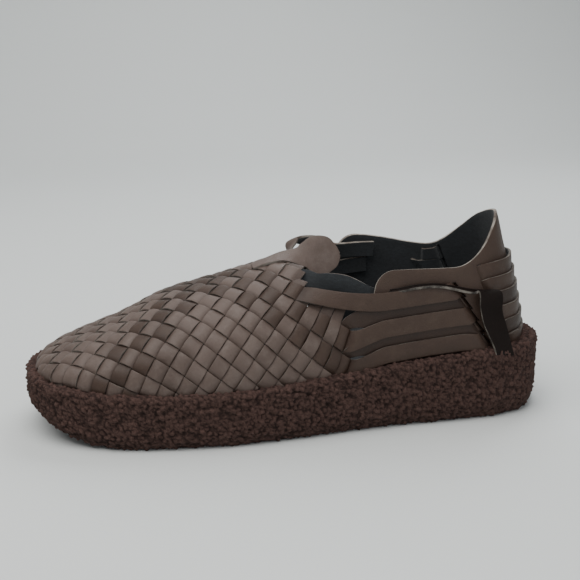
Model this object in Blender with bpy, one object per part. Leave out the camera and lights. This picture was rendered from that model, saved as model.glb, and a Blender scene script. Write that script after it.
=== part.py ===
"""Left woven sandal on a thick one-piece crumb sole.

The toe points to -X, the outer side of the foot is at -Y and the floor is z = 0. The origin is on the floor,
below the middle of the sole. All sizes are in metres.

One function, last_point, gives the surface of the last on which the shoe is made. The sections of that last
stand on the feather line, where the upper meets the sole, and lean in to a crest line. They fan out round the
toe and round the heel. The woven wall, the straps, the heel leaf and the insole all take their shape from it.
"""

from collections import namedtuple
from math import cos, pi, sin, sqrt

import bmesh
import bpy
from mathutils import Matrix, Vector
from mathutils.bvhtree import BVHTree
from mathutils.interpolate import poly_3d_calc

# Sole
SOLE_LENGTH = 0.300
BALL_WIDTH = 0.110
FOREFOOT_THICKNESS = 0.0305
HEEL_THICKNESS = 0.0425
TOE_RIM_HEIGHT = 0.0350
TOE_SPRING = 0.0165
SIDE_TUCK = 0.0045
RIM_ROUND = 0.0032
LEDGE = 0.0080
HEEL_LEDGE = 0.0125

# Places along the sole, as shares of its length from the toe
TOE_SPRING_ENDS = 0.17
TOE_RIM_ENDS = 0.30
HEEL_RISE_FROM = 0.32
HEEL_RISE_TO = 0.95
LEDGE_WIDENS_FROM = 0.86
LEDGE_WIDENS_TO = 1.00
THROAT_ALONG = 0.473
BAND_FRONT_ALONG = 0.530
BAND_EMERGE_ALONG = 0.562
BAND_LEAN = 0.080
BAND_RISE = 0.038
LEAF_FRONT_LATERAL = 0.640
LEAF_FRONT_MEDIAL = 0.610
WING_ENDS_ALONG = 0.840
HEEL_WRAP_FROM = 0.80
HEEL_WRAP_TO = 0.90
LEAF_PEAK_ALONG = 0.985

# Last and upper
INSTEP_HEIGHT = 0.0600
LEATHER = 0.0018
CLEARANCE = 0.0003
LEAF_CLEARANCE = 0.0009
STRIP_PITCH = 0.0096
WEAVE_WALL = 0.0020
STRIP_RAISE = 0.0012
SKIRT_DEPTH = 0.0140
WEAVE_SLANT = 0.547
THROAT_HALF = 0.0100

# Side straps, heel wraps and heel leaf
STRAP_COUNT = 6
STRAP_WIDTH = 0.0096
STRAP_WALL = 0.0012
STRAP_ROOT = 0.0005
STRAP_STEP = 0.0013
STRAP_LEFT_BARE = 0.0006
STRAP_TOP_FRONT = 0.0395
STRAP_TOP_HEEL = 0.0470
LEAF_TOP_SIDE = 0.0470
LEAF_WING_MEDIAL = 0.0135
LEAF_WING_LATERAL = 0.0040
LEAF_TOP_HEEL = 0.0730
LEAF_CORNER = 0.0100
LEAF_LEAN = 0.0200
LEAF_LEAN_FADES = 0.0500
TOP_STRAP_HIDDEN = 0.75
BAND_BELOW_SOLE = 0.25

# Insole
INSOLE_THICKNESS = 0.0030
INSOLE_INSET = 0.0033

# Loose straps and tongue
PULL_STRAP_WIDTH = 0.0110
TONGUE_RADIUS = 0.0118
TONGUE_NECK = 0.0090
LOOSE_GAP = 0.0011
COLLAR_PEAK = 0.0085
PULL_RISE = 0.0042

# Middle line of a loose strap inside the upper, on the weave and on the side straps
UNDER = -(LEATHER / 2 + LOOSE_GAP)
OVER_WEAVE = WEAVE_WALL + STRIP_RAISE + LEATHER / 2 + CLEARANCE
OVER_BAND = LEATHER + LEAF_CLEARANCE + STRAP_WALL + STRAP_STEP + LEATHER / 2 + LOOSE_GAP / 2

# Fineness of the meshes
SOLE_STEPS = 5
INSOLE_STEPS = 3
HEEL_STEPS = 4
STRAP_STEPS = 5
LEAF_LAYERS = 6
WEAVE_LAST_ROW = 9.4
MERGE_DISTANCE = 0.00002
FLAT_TOLERANCE = 0.0008
SHARP_ANGLE = 0.6

LATERAL = -1
MEDIAL = 1

# along and breadth are shares of SOLE_LENGTH and BALL_WIDTH, and fullness is the section's exponent
Section = namedtuple("Section", "along lateral medial crest_along crest_aside fullness")
SECTIONS = [
    Section(0.000, 0.000, 0.000, 0.125, 0.000, 2.60),
    Section(0.010, 0.190, 0.180, 0.128, 0.004, 2.60),
    Section(0.042, 0.330, 0.310, 0.150, 0.012, 2.55),
    Section(0.095, 0.425, 0.395, 0.190, 0.022, 2.50),
    Section(0.165, 0.492, 0.442, 0.240, 0.030, 2.40),
    Section(0.255, 0.526, 0.466, 0.305, 0.036, 2.30),
    Section(0.360, 0.532, 0.462, 0.382, 0.040, 2.20),
    Section(0.470, 0.500, 0.420, 0.470, 0.040, 2.15),
    Section(0.580, 0.450, 0.385, 0.580, 0.036, 2.10),
    Section(0.700, 0.405, 0.365, 0.690, 0.022, 2.00),
    Section(0.810, 0.385, 0.355, 0.765, 0.010, 1.80),
    Section(0.900, 0.350, 0.330, 0.805, 0.004, 1.50),
    Section(0.966, 0.245, 0.235, 0.835, 0.000, 1.30),
    Section(1.000, 0.000, 0.000, 0.847, 0.000, 1.25),
]
HEEL_ROW = len(SECTIONS) - 1

# height is a share of INSTEP_HEIGHT above the sole; behind the throat the crest is a guide inside the ankle
Crest = namedtuple("Crest", "along height")
CREST = [
    Crest(0.030, 0.09),
    Crest(0.100, 0.25),
    Crest(0.177, 0.41),
    Crest(0.268, 0.645),
    Crest(0.340, 0.745),
    Crest(0.413, 0.84),
    Crest(0.493, 0.94),
    Crest(0.560, 1.06),
    Crest(0.630, 1.36),
    Crest(0.700, 1.68),
    Crest(0.800, 1.80),
    Crest(1.000, 1.80),
]

# height is a share of the sole's thickness, outward is measured from the outline
Side = namedtuple("Side", "height outward")
SOLE_SIDE = [
    Side(0.00, -SIDE_TUCK),
    Side(0.07, -0.50 * SIDE_TUCK),
    Side(0.22, -0.10 * SIDE_TUCK),
    Side(0.50, 0.0),
    Side(0.78, -0.25 * RIM_ROUND),
    Side(0.93, -0.40 * RIM_ROUND),
    Side(1.00, -RIM_ROUND),
]

# section is a row of SECTIONS, lift runs from the feather line to the crest, roll turns the strap on edge
StrapRow = namedtuple("StrapRow", "section lift offset roll width")


def catmull(before, start, end, after, t):
    """Value between start and end on a smooth curve through all four."""
    linear = (end - before) * t
    square = (2 * before - 5 * start + 4 * end - after) * t ** 2
    cube = (3 * start - before - 3 * end + after) * t ** 3
    return 0.5 * (2 * start + linear + square + cube)


def smooth_table(rows, column, along):
    """Column of a table at a share of the length, on a smooth curve that runs on straight past the ends."""
    places = [row.along for row in rows]
    values = [getattr(row, column) for row in rows]
    inner = range(1, len(rows) - 1)
    steps = [(values[i + 1] - values[i]) / (places[i + 1] - places[i]) for i in range(len(rows) - 1)]
    slopes = [steps[0]] + [(steps[i - 1] + steps[i]) / 2 for i in inner] + [steps[-1]]
    if along <= places[0]:
        return values[0] + slopes[0] * (along - places[0])
    if along >= places[-1]:
        return values[-1]
    i = max(k for k in range(len(rows) - 1) if places[k] <= along)
    span = places[i + 1] - places[i]
    t = (along - places[i]) / span
    rise = (3 - 2 * t) * t * t
    start_bend = t * (1 - t) ** 2 * slopes[i] * span
    end_bend = t * t * (t - 1) * slopes[i + 1] * span
    return values[i] * (1 - rise) + values[i + 1] * rise + start_bend + end_bend


def blend(value, start, end):
    """Smooth step from 0 at start to 1 at end."""
    t = min(max((value - start) / (end - start), 0.0), 1.0)
    return t * t * (3 - 2 * t)


def share_of_length(x):
    """Share of the sole's length from the toe at a place along X."""
    return x / SOLE_LENGTH + 0.5


def sole_top(x):
    """Height of the sole's top above the floor."""
    along = share_of_length(x)
    toe = min(max(1 - along / TOE_RIM_ENDS, 0.0), 1.0) ** 2.2
    heel = blend(along, HEEL_RISE_FROM, HEEL_RISE_TO)
    toe_rise = TOE_RIM_HEIGHT - FOREFOOT_THICKNESS
    heel_rise = HEEL_THICKNESS - FOREFOOT_THICKNESS
    return FOREFOOT_THICKNESS + toe_rise * toe + heel_rise * heel


def sole_bottom(x):
    """Height of the sole's underside, flat but for the toe spring."""
    toe = max(1 - share_of_length(x) / TOE_SPRING_ENDS, 0.0)
    return TOE_SPRING * toe ** 2


def wrap(u, side):
    """Row position and side with u brought back between the toe row and the heel row."""
    if u < 0:
        return -u, -side
    if u > HEEL_ROW:
        return 2 * HEEL_ROW - u, -side
    return u, side


def section_column(column, u):
    """Column of SECTIONS at a row position, mirrored past the toe and the heel."""
    first = min(int(u), HEEL_ROW - 1)
    rows = [HEEL_ROW - abs(HEEL_ROW - abs(first + step)) for step in (-1, 0, 1, 2)]
    return catmull(*[getattr(SECTIONS[row], column) for row in rows], u - first)


def breadth(u, side):
    """Half breadth of the outline on one side, as a share of BALL_WIDTH."""
    own, other = ("medial", "lateral") if side == MEDIAL else ("lateral", "medial")
    first = min(int(u), HEEL_ROW - 1)
    values = []
    for row in range(first - 1, first + 3):
        if 0 <= row <= HEEL_ROW:
            values.append(getattr(SECTIONS[row], own))
        else:
            values.append(-getattr(SECTIONS[HEEL_ROW - abs(HEEL_ROW - abs(row))], other))
    return catmull(*values, u - first)


def middle_aside():
    """Distance along Y from the line that breadths are measured from to the middle of the sole."""
    rows = [k / SOLE_STEPS for k in range(HEEL_ROW * SOLE_STEPS)]
    outer, inner = [max(breadth(u, side) for u in rows) for side in (LATERAL, MEDIAL)]
    return (inner - outer) / 2 * BALL_WIDTH


MIDDLE_ASIDE = middle_aside()


def outline(u, side):
    """Plan point of the sole's outline."""
    u, side = wrap(u, side)
    x = (section_column("along", u) - 0.5) * SOLE_LENGTH
    return Vector((x, side * breadth(u, side) * BALL_WIDTH - MIDDLE_ASIDE))


def outline_out(u, side, step=0.02):
    """Outward direction of the outline in plan."""
    ahead = outline(u + step, side)
    behind = outline(u - step, side)
    tangent = (ahead - behind).normalized()
    return Vector((tangent.y, -tangent.x)) * -side


def outset(u, side, distance):
    """Plan point that lies a distance outside the outline."""
    return outline(u, side) + outline_out(u, side) * distance


def ledge(u):
    """Width of the sole's top outside the last, wider at the heel where the leaf and straps lie on it."""
    widened = blend(section_column("along", u), LEDGE_WIDENS_FROM, LEDGE_WIDENS_TO)
    return LEDGE + (HEEL_LEDGE - LEDGE) * widened


def crest_height(x):
    """Height of the last's crest line above the floor."""
    return sole_top(x) + INSTEP_HEIGHT * smooth_table(CREST, "height", share_of_length(x))


def last_point(u, side, lift):
    """Point of the last on section u, from the feather line at lift 0 to the crest at lift 1."""
    u, side = wrap(u, side)
    foot = outset(u, side, -ledge(u))
    crest_x = (section_column("crest_along", u) - 0.5) * SOLE_LENGTH
    crest = Vector((crest_x, section_column("crest_aside", u) * BALL_WIDTH - MIDDLE_ASIDE))
    power = 2 / section_column("fullness", u)
    angle = min(max(lift, 0.0), 1.0) * pi / 2
    plan = foot.lerp(crest, 1 - abs(cos(angle)) ** power)
    base = sole_top(foot.x) + CLEARANCE
    z = base + (crest_height(plan.x) - base) * sin(angle) ** power + min(lift, 0.0) * SKIRT_DEPTH
    return Vector((plan.x, plan.y, z))


def last_normal(u, side, lift, step=0.01):
    """Outward direction of the last."""
    if lift > 1 - 2 * step:
        x = last_point(u, side, 1.0).x
        slope = (crest_height(x + 0.001) - crest_height(x - 0.001)) / 0.002
        return Vector((-slope, 0, 1)).normalized()
    along = last_point(u + step, side, lift) - last_point(u - step, side, lift)
    up = last_point(u, side, lift + step) - last_point(u, side, lift - step)
    return (along.cross(up) * -side).normalized()


def last_offset(u, side, lift, offset):
    """Point that stands off the last by an offset."""
    return last_point(u, side, lift) + last_normal(u, side, lift) * offset


def lift_at(u, side, height):
    """Lift at which a section reaches a height above the sole's top."""
    low, high = 0.0, 1.0
    base = last_point(u, side, 0.0).z
    for _ in range(24):
        middle = (low + high) / 2
        if last_point(u, side, middle).z - base < height:
            low = middle
        else:
            high = middle
    return low


def row_at(x):
    """Row position at which the outline passes a place along X."""
    low, high = 0.0, float(HEEL_ROW)
    for _ in range(24):
        middle = (low + high) / 2
        if outline(middle, LATERAL).x < x:
            low = middle
        else:
            high = middle
    return low


def material(name, color, roughness):
    """Plain material of one sub-part."""
    surface = bpy.data.materials.new(name)
    surface.use_nodes = True
    shader = surface.node_tree.nodes["Principled BSDF"]
    shader.inputs["Base Color"].default_value = (*color, 1)
    shader.inputs["Roughness"].default_value = roughness
    shader.inputs["Metallic"].default_value = 0.0
    return surface


def make_object(name, points, faces, surface):
    """Object from points and faces, with its faces turned outward."""
    bm = bmesh.new()
    corners = [bm.verts.new(point) for point in points]
    for face in faces:
        bm.faces.new([corners[k] for k in face])
    bmesh.ops.remove_doubles(bm, verts=bm.verts, dist=MERGE_DISTANCE)
    bmesh.ops.recalc_face_normals(bm, faces=bm.faces)
    mesh = bpy.data.meshes.new(name)
    bm.to_mesh(mesh)
    bm.free()
    mesh.materials.append(surface)
    mesh.shade_smooth()
    mesh.set_sharp_from_angle(angle=SHARP_ANGLE)
    item = bpy.data.objects.new(name, mesh)
    bpy.context.scene.collection.objects.link(item)
    return item


def loft(rings, closed=False):
    """Points and faces of a solid through rings of equal count, capped at both ends unless it is closed."""
    count = len(rings[0])
    points = [point for ring in rings for point in ring]
    faces = []
    pairs = len(rings) if closed else len(rings) - 1
    for i in range(pairs):
        here, there = i * count, (i + 1) % len(rings) * count
        for k in range(count):
            after = (k + 1) % count
            faces.append((here + k, here + after, there + after, there + k))
    if not closed:
        faces.append(tuple(range(count)))
        faces.append(tuple(len(points) - count + k for k in range(count)))
    return points, faces


def boolean(item, other, operation):
    """Joins or cuts an object by another one that is only a tool."""
    other.hide_render = True
    other.display_type = "WIRE"
    modifier = item.modifiers.new(operation.title(), "BOOLEAN")
    modifier.operation = operation
    modifier.object = other
    modifier.solver = "EXACT"


def spread(start, end, count):
    """Evenly spaced values from start to end."""
    return [start + (end - start) * i / count for i in range(count + 1)]


def round_the_outline(steps_per_row):
    """Row positions and sides from the toe along the outer side to the heel and back along the inner side."""
    count = HEEL_ROW * steps_per_row
    outer = [(i / steps_per_row, LATERAL) for i in range(count + 1)]
    inner = [(i / steps_per_row, MEDIAL) for i in range(count - 1, 0, -1)]
    return outer + inner


def across(stations, ring_start, lowest):
    """Quads that close a ring of stations, from its outer side across to its inner side."""
    count = len(stations)
    half = count // 2
    faces = []
    for i in range(half):
        corners = [i, i + 1, (count - i - 1) % count, (count - i) % count]
        unique = list(dict.fromkeys(corners))
        faces.append(tuple(ring_start + k for k in unique))
    return faces if lowest else [face[::-1] for face in faces]


def outsole(surface):
    """Thick sole with a tucked-in edge, a slight bulge and a rounded rim."""
    stations = round_the_outline(SOLE_STEPS)
    rings = []
    for row in SOLE_SIDE:
        ring = []
        for u, side in stations:
            edge = outline(u, side)
            plan = outset(u, side, row.outward)
            low, high = sole_bottom(edge.x), sole_top(plan.x)
            ring.append(Vector((plan.x, plan.y, low + (high - low) * row.height)))
        rings.append(ring)
    for point in rings[0]:
        point.z = sole_bottom(point.x)
    inner_rim = [outset(u, side, -LEDGE) for u, side in stations]
    rings.append([Vector((plan.x, plan.y, sole_top(plan.x))) for plan in inner_rim])
    count = len(stations)
    points, faces = loft(rings)
    faces = faces[:-2]
    faces += across(stations, 0, True)
    faces += across(stations, len(points) - count, False)
    return make_object("outsole", points, faces, surface)


def insole(surface):
    """Sock that lies on the sole inside the upper."""
    stations = round_the_outline(INSOLE_STEPS)
    top = CLEARANCE + INSOLE_THICKNESS
    edge = []
    for u, side in stations:
        lift = lift_at(u, side, top)
        edge.append(last_offset(u, side, lift, -INSOLE_INSET))
    rings = [[Vector((p.x, p.y, sole_top(p.x) + height)) for p in edge] for height in (CLEARANCE, top)]
    count = len(stations)
    points, faces = loft(rings)
    faces = faces[:-2]
    faces += across(stations, 0, True)
    faces += across(stations, count, False)
    return make_object("insole", points, faces, surface)


class Pattern:
    """Flat pattern of the vamp, with which a place on the flat finds its place on the last."""

    ROW_STEPS = 8
    LIFT_STEPS = 24

    def __init__(self, last_row):
        rows = spread(0.0, last_row, int(last_row * self.ROW_STEPS))
        lifts = [-1.0, -0.5] + spread(0.0, 1.0, self.LIFT_STEPS)
        self.places, self.normals, self.flats, self.quads = [], [], [], []
        width = len(lifts)
        for side in (LATERAL, MEDIAL):
            run = 0.0
            crest = last_point(0.0, side, 1.0)
            start = len(self.places)
            for u in rows:
                column = [last_point(u, side, lift) for lift in lifts]
                run += (column[-1] - crest).length
                crest = column[-1]
                foot = last_point(u, side, 0.0)
                away = Vector((foot.x - crest.x, foot.y - crest.y, 0)).normalized()
                reach = 0.0
                flat = [Vector((run, 0, 0))]
                for upper, lower in zip(column[:0:-1], column[-2::-1]):
                    reach += (upper - lower).length
                    flat.append(Vector((run, 0, 0)) + away * reach)
                self.places += column
                self.flats += flat[::-1]
                self.normals += [last_normal(u, side, lift) for lift in lifts]
            for i in range(len(rows) - 1):
                for k in range(width - 1):
                    a = start + i * width + k
                    self.quads.append((a, a + 1, a + width + 1, a + width))
        self.tree = BVHTree.FromPolygons(self.flats, self.quads)

    def on_last(self, flat, offset):
        """Point over the last at a place of the flat pattern, or None outside it."""
        place, _, index, distance = self.tree.find_nearest(flat)
        if distance > FLAT_TOLERANCE:
            return None
        quad = self.quads[index]
        weights = poly_3d_calc([self.flats[k] for k in quad], place)
        point = sum((self.places[k] * w for k, w in zip(quad, weights)), Vector())
        normal = sum((self.normals[k] * w for k, w in zip(quad, weights)), Vector())
        return point + normal.normalized() * offset

    def crest_run(self, x):
        """Length along the crest, on the flat, to a place along X."""
        width = self.LIFT_STEPS + 3
        crests = range(width - 1, len(self.places), width)
        nearest = min(crests, key=lambda k: abs(self.places[k].x - x))
        return self.flats[nearest].x


def weave(pattern, surface):
    """One wall of strips over and under each other on the diagonal.

    Each cell of the net shows the strip that passes over. Its two long edges rise to a raised middle and its
    ends dive under the long edges of the strips next to it.
    """
    step = STRIP_PITCH / sqrt(2)
    throat = pattern.crest_run((THROAT_ALONG - 0.5) * SOLE_LENGTH)

    def flat(a, b):
        return Vector((throat + (a + b) * step, (a - b) * step, 0))

    reach = int(SOLE_LENGTH / STRIP_PITCH)
    cells = set()
    for a in range(-reach, reach):
        for b in range(-reach, reach):
            middle = flat(a + 0.5, b + 0.5)
            if middle.x > throat + WEAVE_SLANT * max(0.0, abs(middle.y) - THROAT_HALF):
                continue
            corners = [pattern.on_last(flat(a + i, b + k), 0.0) for i in (0, 1) for k in (0, 1)]
            if None in corners or pattern.on_last(middle, 0.0) is None:
                continue
            if max(corner.z - sole_top(corner.x) for corner in corners) > 0.0:
                cells.add((a, b))

    points = []
    index = {}

    def vertex(a, b, offset):
        key = (a, b, offset)
        if key not in index:
            index[key] = len(points)
            points.append(pattern.on_last(flat(a, b), offset))
        return index[key]

    outer, raised = WEAVE_WALL, WEAVE_WALL + STRIP_RAISE
    faces = []
    for a, b in cells:
        runs_along_a = (a + b) % 2 == 0
        ring = [(a, b), (a + 1, b), (a + 1, b + 1), (a, b + 1)]
        low = [vertex(*corner, outer) for corner in ring]
        inner = [vertex(*corner, 0.0) for corner in ring]
        faces.append(tuple(inner))
        first = 0 if runs_along_a else 1
        mids = {}
        for k in (first, first + 2):
            start, end = ring[k], ring[(k + 1) % 4]
            mids[k] = vertex((start[0] + end[0]) / 2, (start[1] + end[1]) / 2, raised)
        c = [low[(first + k) % 4] for k in range(4)]
        near, far = mids[first], mids[first + 2]
        faces.append((c[0], near, far, c[3])[::-1])
        faces.append((near, c[1], c[2], far)[::-1])
        neighbours = [(a, b - 1), (a + 1, b), (a, b + 1), (a - 1, b)]
        for k in range(4):
            has_mid = k in mids
            after = (k + 1) % 4
            if neighbours[k] in cells:
                if has_mid:
                    faces.append((low[k], low[after], mids[k]))
            elif has_mid:
                faces.append((low[k], inner[k], inner[after], low[after], mids[k]))
            else:
                faces.append((low[k], inner[k], inner[after], low[after]))
    return make_object("upper", points, faces, surface)


def leaf_front(side):
    """Place along the sole at which the heel leaf starts on one side."""
    return LEAF_FRONT_MEDIAL if side == MEDIAL else LEAF_FRONT_LATERAL


def quarter_stations(lateral_front, medial_front):
    """Row positions and sides from the front of the outer side, round the heel and back to the inner side.

    All that wraps the heel has its stations on the same rows, so that its flats lie parallel. The first of
    those rows is left out where it would lie close to the front place.
    """
    stations = []
    for side, front_along in ((LATERAL, lateral_front), (MEDIAL, medial_front)):
        start = row_at((front_along - 0.5) * SOLE_LENGTH)
        first = round(start * HEEL_STEPS + 0.8)
        last = HEEL_ROW * HEEL_STEPS if side == MEDIAL else HEEL_ROW * HEEL_STEPS + 1
        rows = [start] + [k / HEEL_STEPS for k in range(first, last)]
        stations.append([(u, side) for u in rows])
    outer, inner = stations
    return outer + inner[::-1]


def strap_top(along):
    """Height of the top strap's upper edge above the sole."""
    return STRAP_TOP_FRONT + (STRAP_TOP_HEEL - STRAP_TOP_FRONT) * blend(along, HEEL_WRAP_FROM, HEEL_WRAP_TO)


def strap_band(surface):
    """Straps that run back from the weave and wrap the heel, each lapped over the next like shingles.

    On the sides each strap laps over the one below it, and round the heel each laps over the one above it.
    """
    bottom = -BAND_BELOW_SOLE * STRAP_WIDTH
    rings = []
    for u, side in quarter_stations(BAND_FRONT_ALONG, BAND_FRONT_ALONG):
        along = share_of_length(last_point(u, side, 0.0).x)
        at_heel = blend(along, HEEL_WRAP_FROM, HEEL_WRAP_TO)
        top = strap_top(along)
        pitch = (top - bottom) / (STRAP_COUNT - TOP_STRAP_HIDDEN * (1 - at_heel))

        def wall(height, lap):
            start = BAND_EMERGE_ALONG + BAND_LEAN * (1 - height / top)
            clear = blend(along, start, start + BAND_RISE)
            inner = STRAP_ROOT + (LEATHER + LEAF_CLEARANCE - STRAP_ROOT) * clear
            if lap is None:
                return wall_point(u, side, height, inner)
            return wall_point(u, side, height, inner + STRAP_WALL + STRAP_STEP * clear * lap)

        ring = []
        for k in range(STRAP_COUNT):
            low = bottom + pitch * k
            high = min(low + pitch, top)
            ring += [wall(low + STRAP_LEFT_BARE, 1 - at_heel), wall(high, at_heel)]
        rings.append(ring + [wall(height, None) for height in spread(top, bottom, 4)])
    points, faces = loft(rings)
    return make_object("strap_band", points, faces, surface)


def wall_point(u, side, height, offset):
    """Point that stands off the last at a height above the sole."""
    if height > 0:
        return last_offset(u, side, lift_at(u, side, height), offset)
    point = last_offset(u, side, 0.0, offset)
    normal = last_normal(u, side, 0.02)
    level = Vector((normal.x, normal.y, 0)).normalized()
    base = last_point(u, side, 0.0)
    return Vector((base.x + level.x * offset, base.y + level.y * offset, base.z + height))


def sole_space(surface):
    """Block that holds the sole and the clearance above it, with which the upper is trimmed."""
    bottom = -SKIRT_DEPTH
    rings = []
    for x in spread(-0.6 * SOLE_LENGTH, 0.6 * SOLE_LENGTH, 60):
        top = sole_top(x) + CLEARANCE
        corners = ((-BALL_WIDTH, bottom), (BALL_WIDTH, bottom), (BALL_WIDTH, top), (-BALL_WIDTH, top))
        rings.append([Vector((x, y, z)) for y, z in corners])
    points, faces = loft(rings)
    return make_object("sole_space", points, faces, surface)


def leaf_top(u, side):
    """Height of the heel leaf's top edge above the sole."""
    foot = last_point(u, side, 0.0)
    along = share_of_length(foot.x)
    back = blend(along, HEEL_WRAP_FROM, LEAF_PEAK_ALONG)
    front = (leaf_front(side) - 0.5) * SOLE_LENGTH
    into_corner = min(max(1 - (foot.x - front) / LEAF_CORNER, 0.0), 1.0)
    drop = LEAF_CORNER * (1 - sqrt(1 - into_corner ** 2))
    wing = LEAF_WING_MEDIAL if side == MEDIAL else LEAF_WING_LATERAL
    wing *= 1 - blend(along, leaf_front(side), WING_ENDS_ALONG)
    return LEAF_TOP_SIDE + wing + (LEAF_TOP_HEEL - LEAF_TOP_SIDE) * back - drop


def counter(surface):
    """Leather leaf round the heel, high at the back, with rounded front corners."""
    layers = spread(0.0, 1.0, LEAF_LAYERS)
    rings = []
    for u, side in quarter_stations(LEAF_FRONT_LATERAL, LEAF_FRONT_MEDIAL):
        front = (leaf_front(side) - 0.5) * SOLE_LENGTH
        top = leaf_top(u, side)
        lean = LEAF_LEAN * (1 - blend(last_point(u, side, 0.0).x, front, front + LEAF_LEAN_FADES))
        ring = []
        for offset, order in ((0.0, layers), (LEATHER, layers[::-1])):
            for share in order:
                shifted = row_at(outline(u, side).x + lean * (1 - share)) if lean > 0 else u
                ring.append(wall_point(shifted, side, max(top * share, 0.0), offset))
        rings.append(ring)
    points, faces = loft(rings)
    return make_object("counter", points, faces, surface)


COLLAR_LATERAL = [
    StrapRow(7.10, 0.680, UNDER, 0.0, STRAP_WIDTH),
    StrapRow(7.40, 0.620, UNDER, 0.0, STRAP_WIDTH),
    StrapRow(7.70, 0.555, UNDER, 0.0, STRAP_WIDTH),
    StrapRow(7.91, 0.506, UNDER, 0.0, STRAP_WIDTH),
    StrapRow(8.15, 0.430, UNDER, 0.0, STRAP_WIDTH),
    StrapRow(8.48, 0.345, UNDER, 0.0, STRAP_WIDTH),
    StrapRow(8.80, 0.300, UNDER, 0.0, STRAP_WIDTH),
]
COLLAR_MEDIAL = [
    StrapRow(6.75, 0.840, UNDER, 0.0, STRAP_WIDTH),
    StrapRow(7.05, 0.845, UNDER, 0.0, STRAP_WIDTH),
    StrapRow(7.26, 0.845, UNDER, 0.0, STRAP_WIDTH),
    StrapRow(7.42, 0.825, 0.45 * COLLAR_PEAK, 0.0, STRAP_WIDTH),
    StrapRow(7.56, 0.780, COLLAR_PEAK, 0.2, STRAP_WIDTH),
    StrapRow(7.92, 0.650, 0.55 * COLLAR_PEAK, 0.0, STRAP_WIDTH),
    StrapRow(8.14, 0.535, UNDER / 2, 0.0, STRAP_WIDTH),
    StrapRow(8.30, 0.475, 1.2 * UNDER, 0.0, STRAP_WIDTH),
    StrapRow(8.62, 0.390, UNDER, 0.0, STRAP_WIDTH),
    StrapRow(8.90, 0.340, UNDER, 0.0, STRAP_WIDTH),
]
TONGUE = [
    StrapRow(6.60, 0.950, OVER_WEAVE, 0.0, TONGUE_NECK),
    StrapRow(6.90, 0.945, OVER_WEAVE, 0.0, TONGUE_NECK),
    StrapRow(7.20, 0.940, OVER_WEAVE, -0.2, TONGUE_NECK),
    StrapRow(7.44, 0.955, -0.07 * TONGUE_RADIUS, -0.7, 0.90 * TONGUE_RADIUS),
    StrapRow(7.55, 0.960, -0.19 * TONGUE_RADIUS, -0.9, 1.42 * TONGUE_RADIUS),
    StrapRow(7.64, 0.960, -0.31 * TONGUE_RADIUS, -1.0, 1.86 * TONGUE_RADIUS),
    StrapRow(7.73, 0.960, -0.50 * TONGUE_RADIUS, -1.1, 2.00 * TONGUE_RADIUS),
    StrapRow(7.81, 0.960, -0.68 * TONGUE_RADIUS, -1.1, 1.87 * TONGUE_RADIUS),
    StrapRow(7.87, 0.960, -0.88 * TONGUE_RADIUS, -1.1, 1.43 * TONGUE_RADIUS),
    StrapRow(7.91, 0.960, -1.01 * TONGUE_RADIUS, -1.1, 0.85 * TONGUE_RADIUS),
    StrapRow(7.93, 0.960, -1.07 * TONGUE_RADIUS, -1.1, 0.30 * TONGUE_RADIUS),
]

# rise is the height over the top strap's edge as a share of PULL_RISE, clear the distance outside the side
# straps as a share of LEATHER
PullRow = namedtuple("PullRow", "section rise clear roll width")
PULL_FOLD = [
    PullRow(10.60, -2.60, 0.00, 0.0, 1.00),
    PullRow(10.52, -1.07, 0.33, 0.1, 1.00),
    PullRow(10.40, 0.12, 1.10, 0.3, 0.80),
    PullRow(10.15, 1.00, 0.33, 1.2, 0.50),
    PullRow(9.80, 0.71, 0.00, 1.5, 0.45),
    PullRow(9.40, 0.62, 0.00, 1.5, 0.45),
    PullRow(9.00, 0.52, 0.00, 1.5, 0.45),
]
# height is a share of the height of the straps at the heel
PullFoot = namedtuple("PullFoot", "section height")
PULL_FOOT = [
    PullFoot(11.00, 0.04),
    PullFoot(10.90, 0.32),
    PullFoot(10.75, 0.60),
]


def pull_strap_rows(side):
    """Rows of the pull strap, up from the sole, over its fold and forward on the top strap."""
    rows = []
    for foot in PULL_FOOT:
        lift = lift_at(foot.section, side, foot.height * STRAP_TOP_HEEL)
        rows.append(StrapRow(foot.section, lift, OVER_BAND, 0.0, PULL_STRAP_WIDTH))
    for row in PULL_FOLD:
        along = share_of_length(last_point(row.section, side, 0.0).x)
        lift = lift_at(row.section, side, strap_top(along) + row.rise * PULL_RISE)
        offset = OVER_BAND + row.clear * LEATHER
        rows.append(StrapRow(row.section, lift, offset, row.roll, row.width * PULL_STRAP_WIDTH))
    return rows


def strap(name, side, rows, surface):
    """Flat strap through rows on the last, turned on edge by each row's roll."""
    corners = ((-1, -1), (0, -1), (1, -1), (1, 1), (0, 1), (-1, 1))
    places = [last_offset(row.section, side, row.lift, row.offset) for row in rows]
    ups = [last_normal(row.section, side, row.lift) for row in rows]

    def smooth(values, i, t):
        last = len(values) - 1
        first, second = values[i], values[min(i + 1, last)]
        before = values[i - 1] if i > 0 else 2 * first - second
        after = values[i + 2] if i + 2 <= last else 2 * second - first
        return catmull(before, first, second, after, t)

    samples = [(i, k / STRAP_STEPS) for i in range(len(rows) - 1) for k in range(STRAP_STEPS)]
    samples.append((len(rows) - 2, 1.0))
    centres = [smooth(places, i, t) for i, t in samples]
    rings = []
    for n, (i, t) in enumerate(samples):
        tangent = (centres[min(n + 1, len(centres) - 1)] - centres[max(n - 1, 0)]).normalized()
        up = smooth(ups, i, t)
        up = (up - tangent * up.dot(tangent)).normalized()
        up = Matrix.Rotation(smooth([row.roll for row in rows], i, t) * side, 3, tangent) @ up
        aside = tangent.cross(up)
        width = max(smooth([row.width for row in rows], i, t), LEATHER / 2)
        rings.append([centres[n] + (aside * width * a + up * LEATHER * b) / 2 for a, b in corners])
    points, faces = loft(rings)
    return make_object(name, points, faces, surface)


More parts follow.
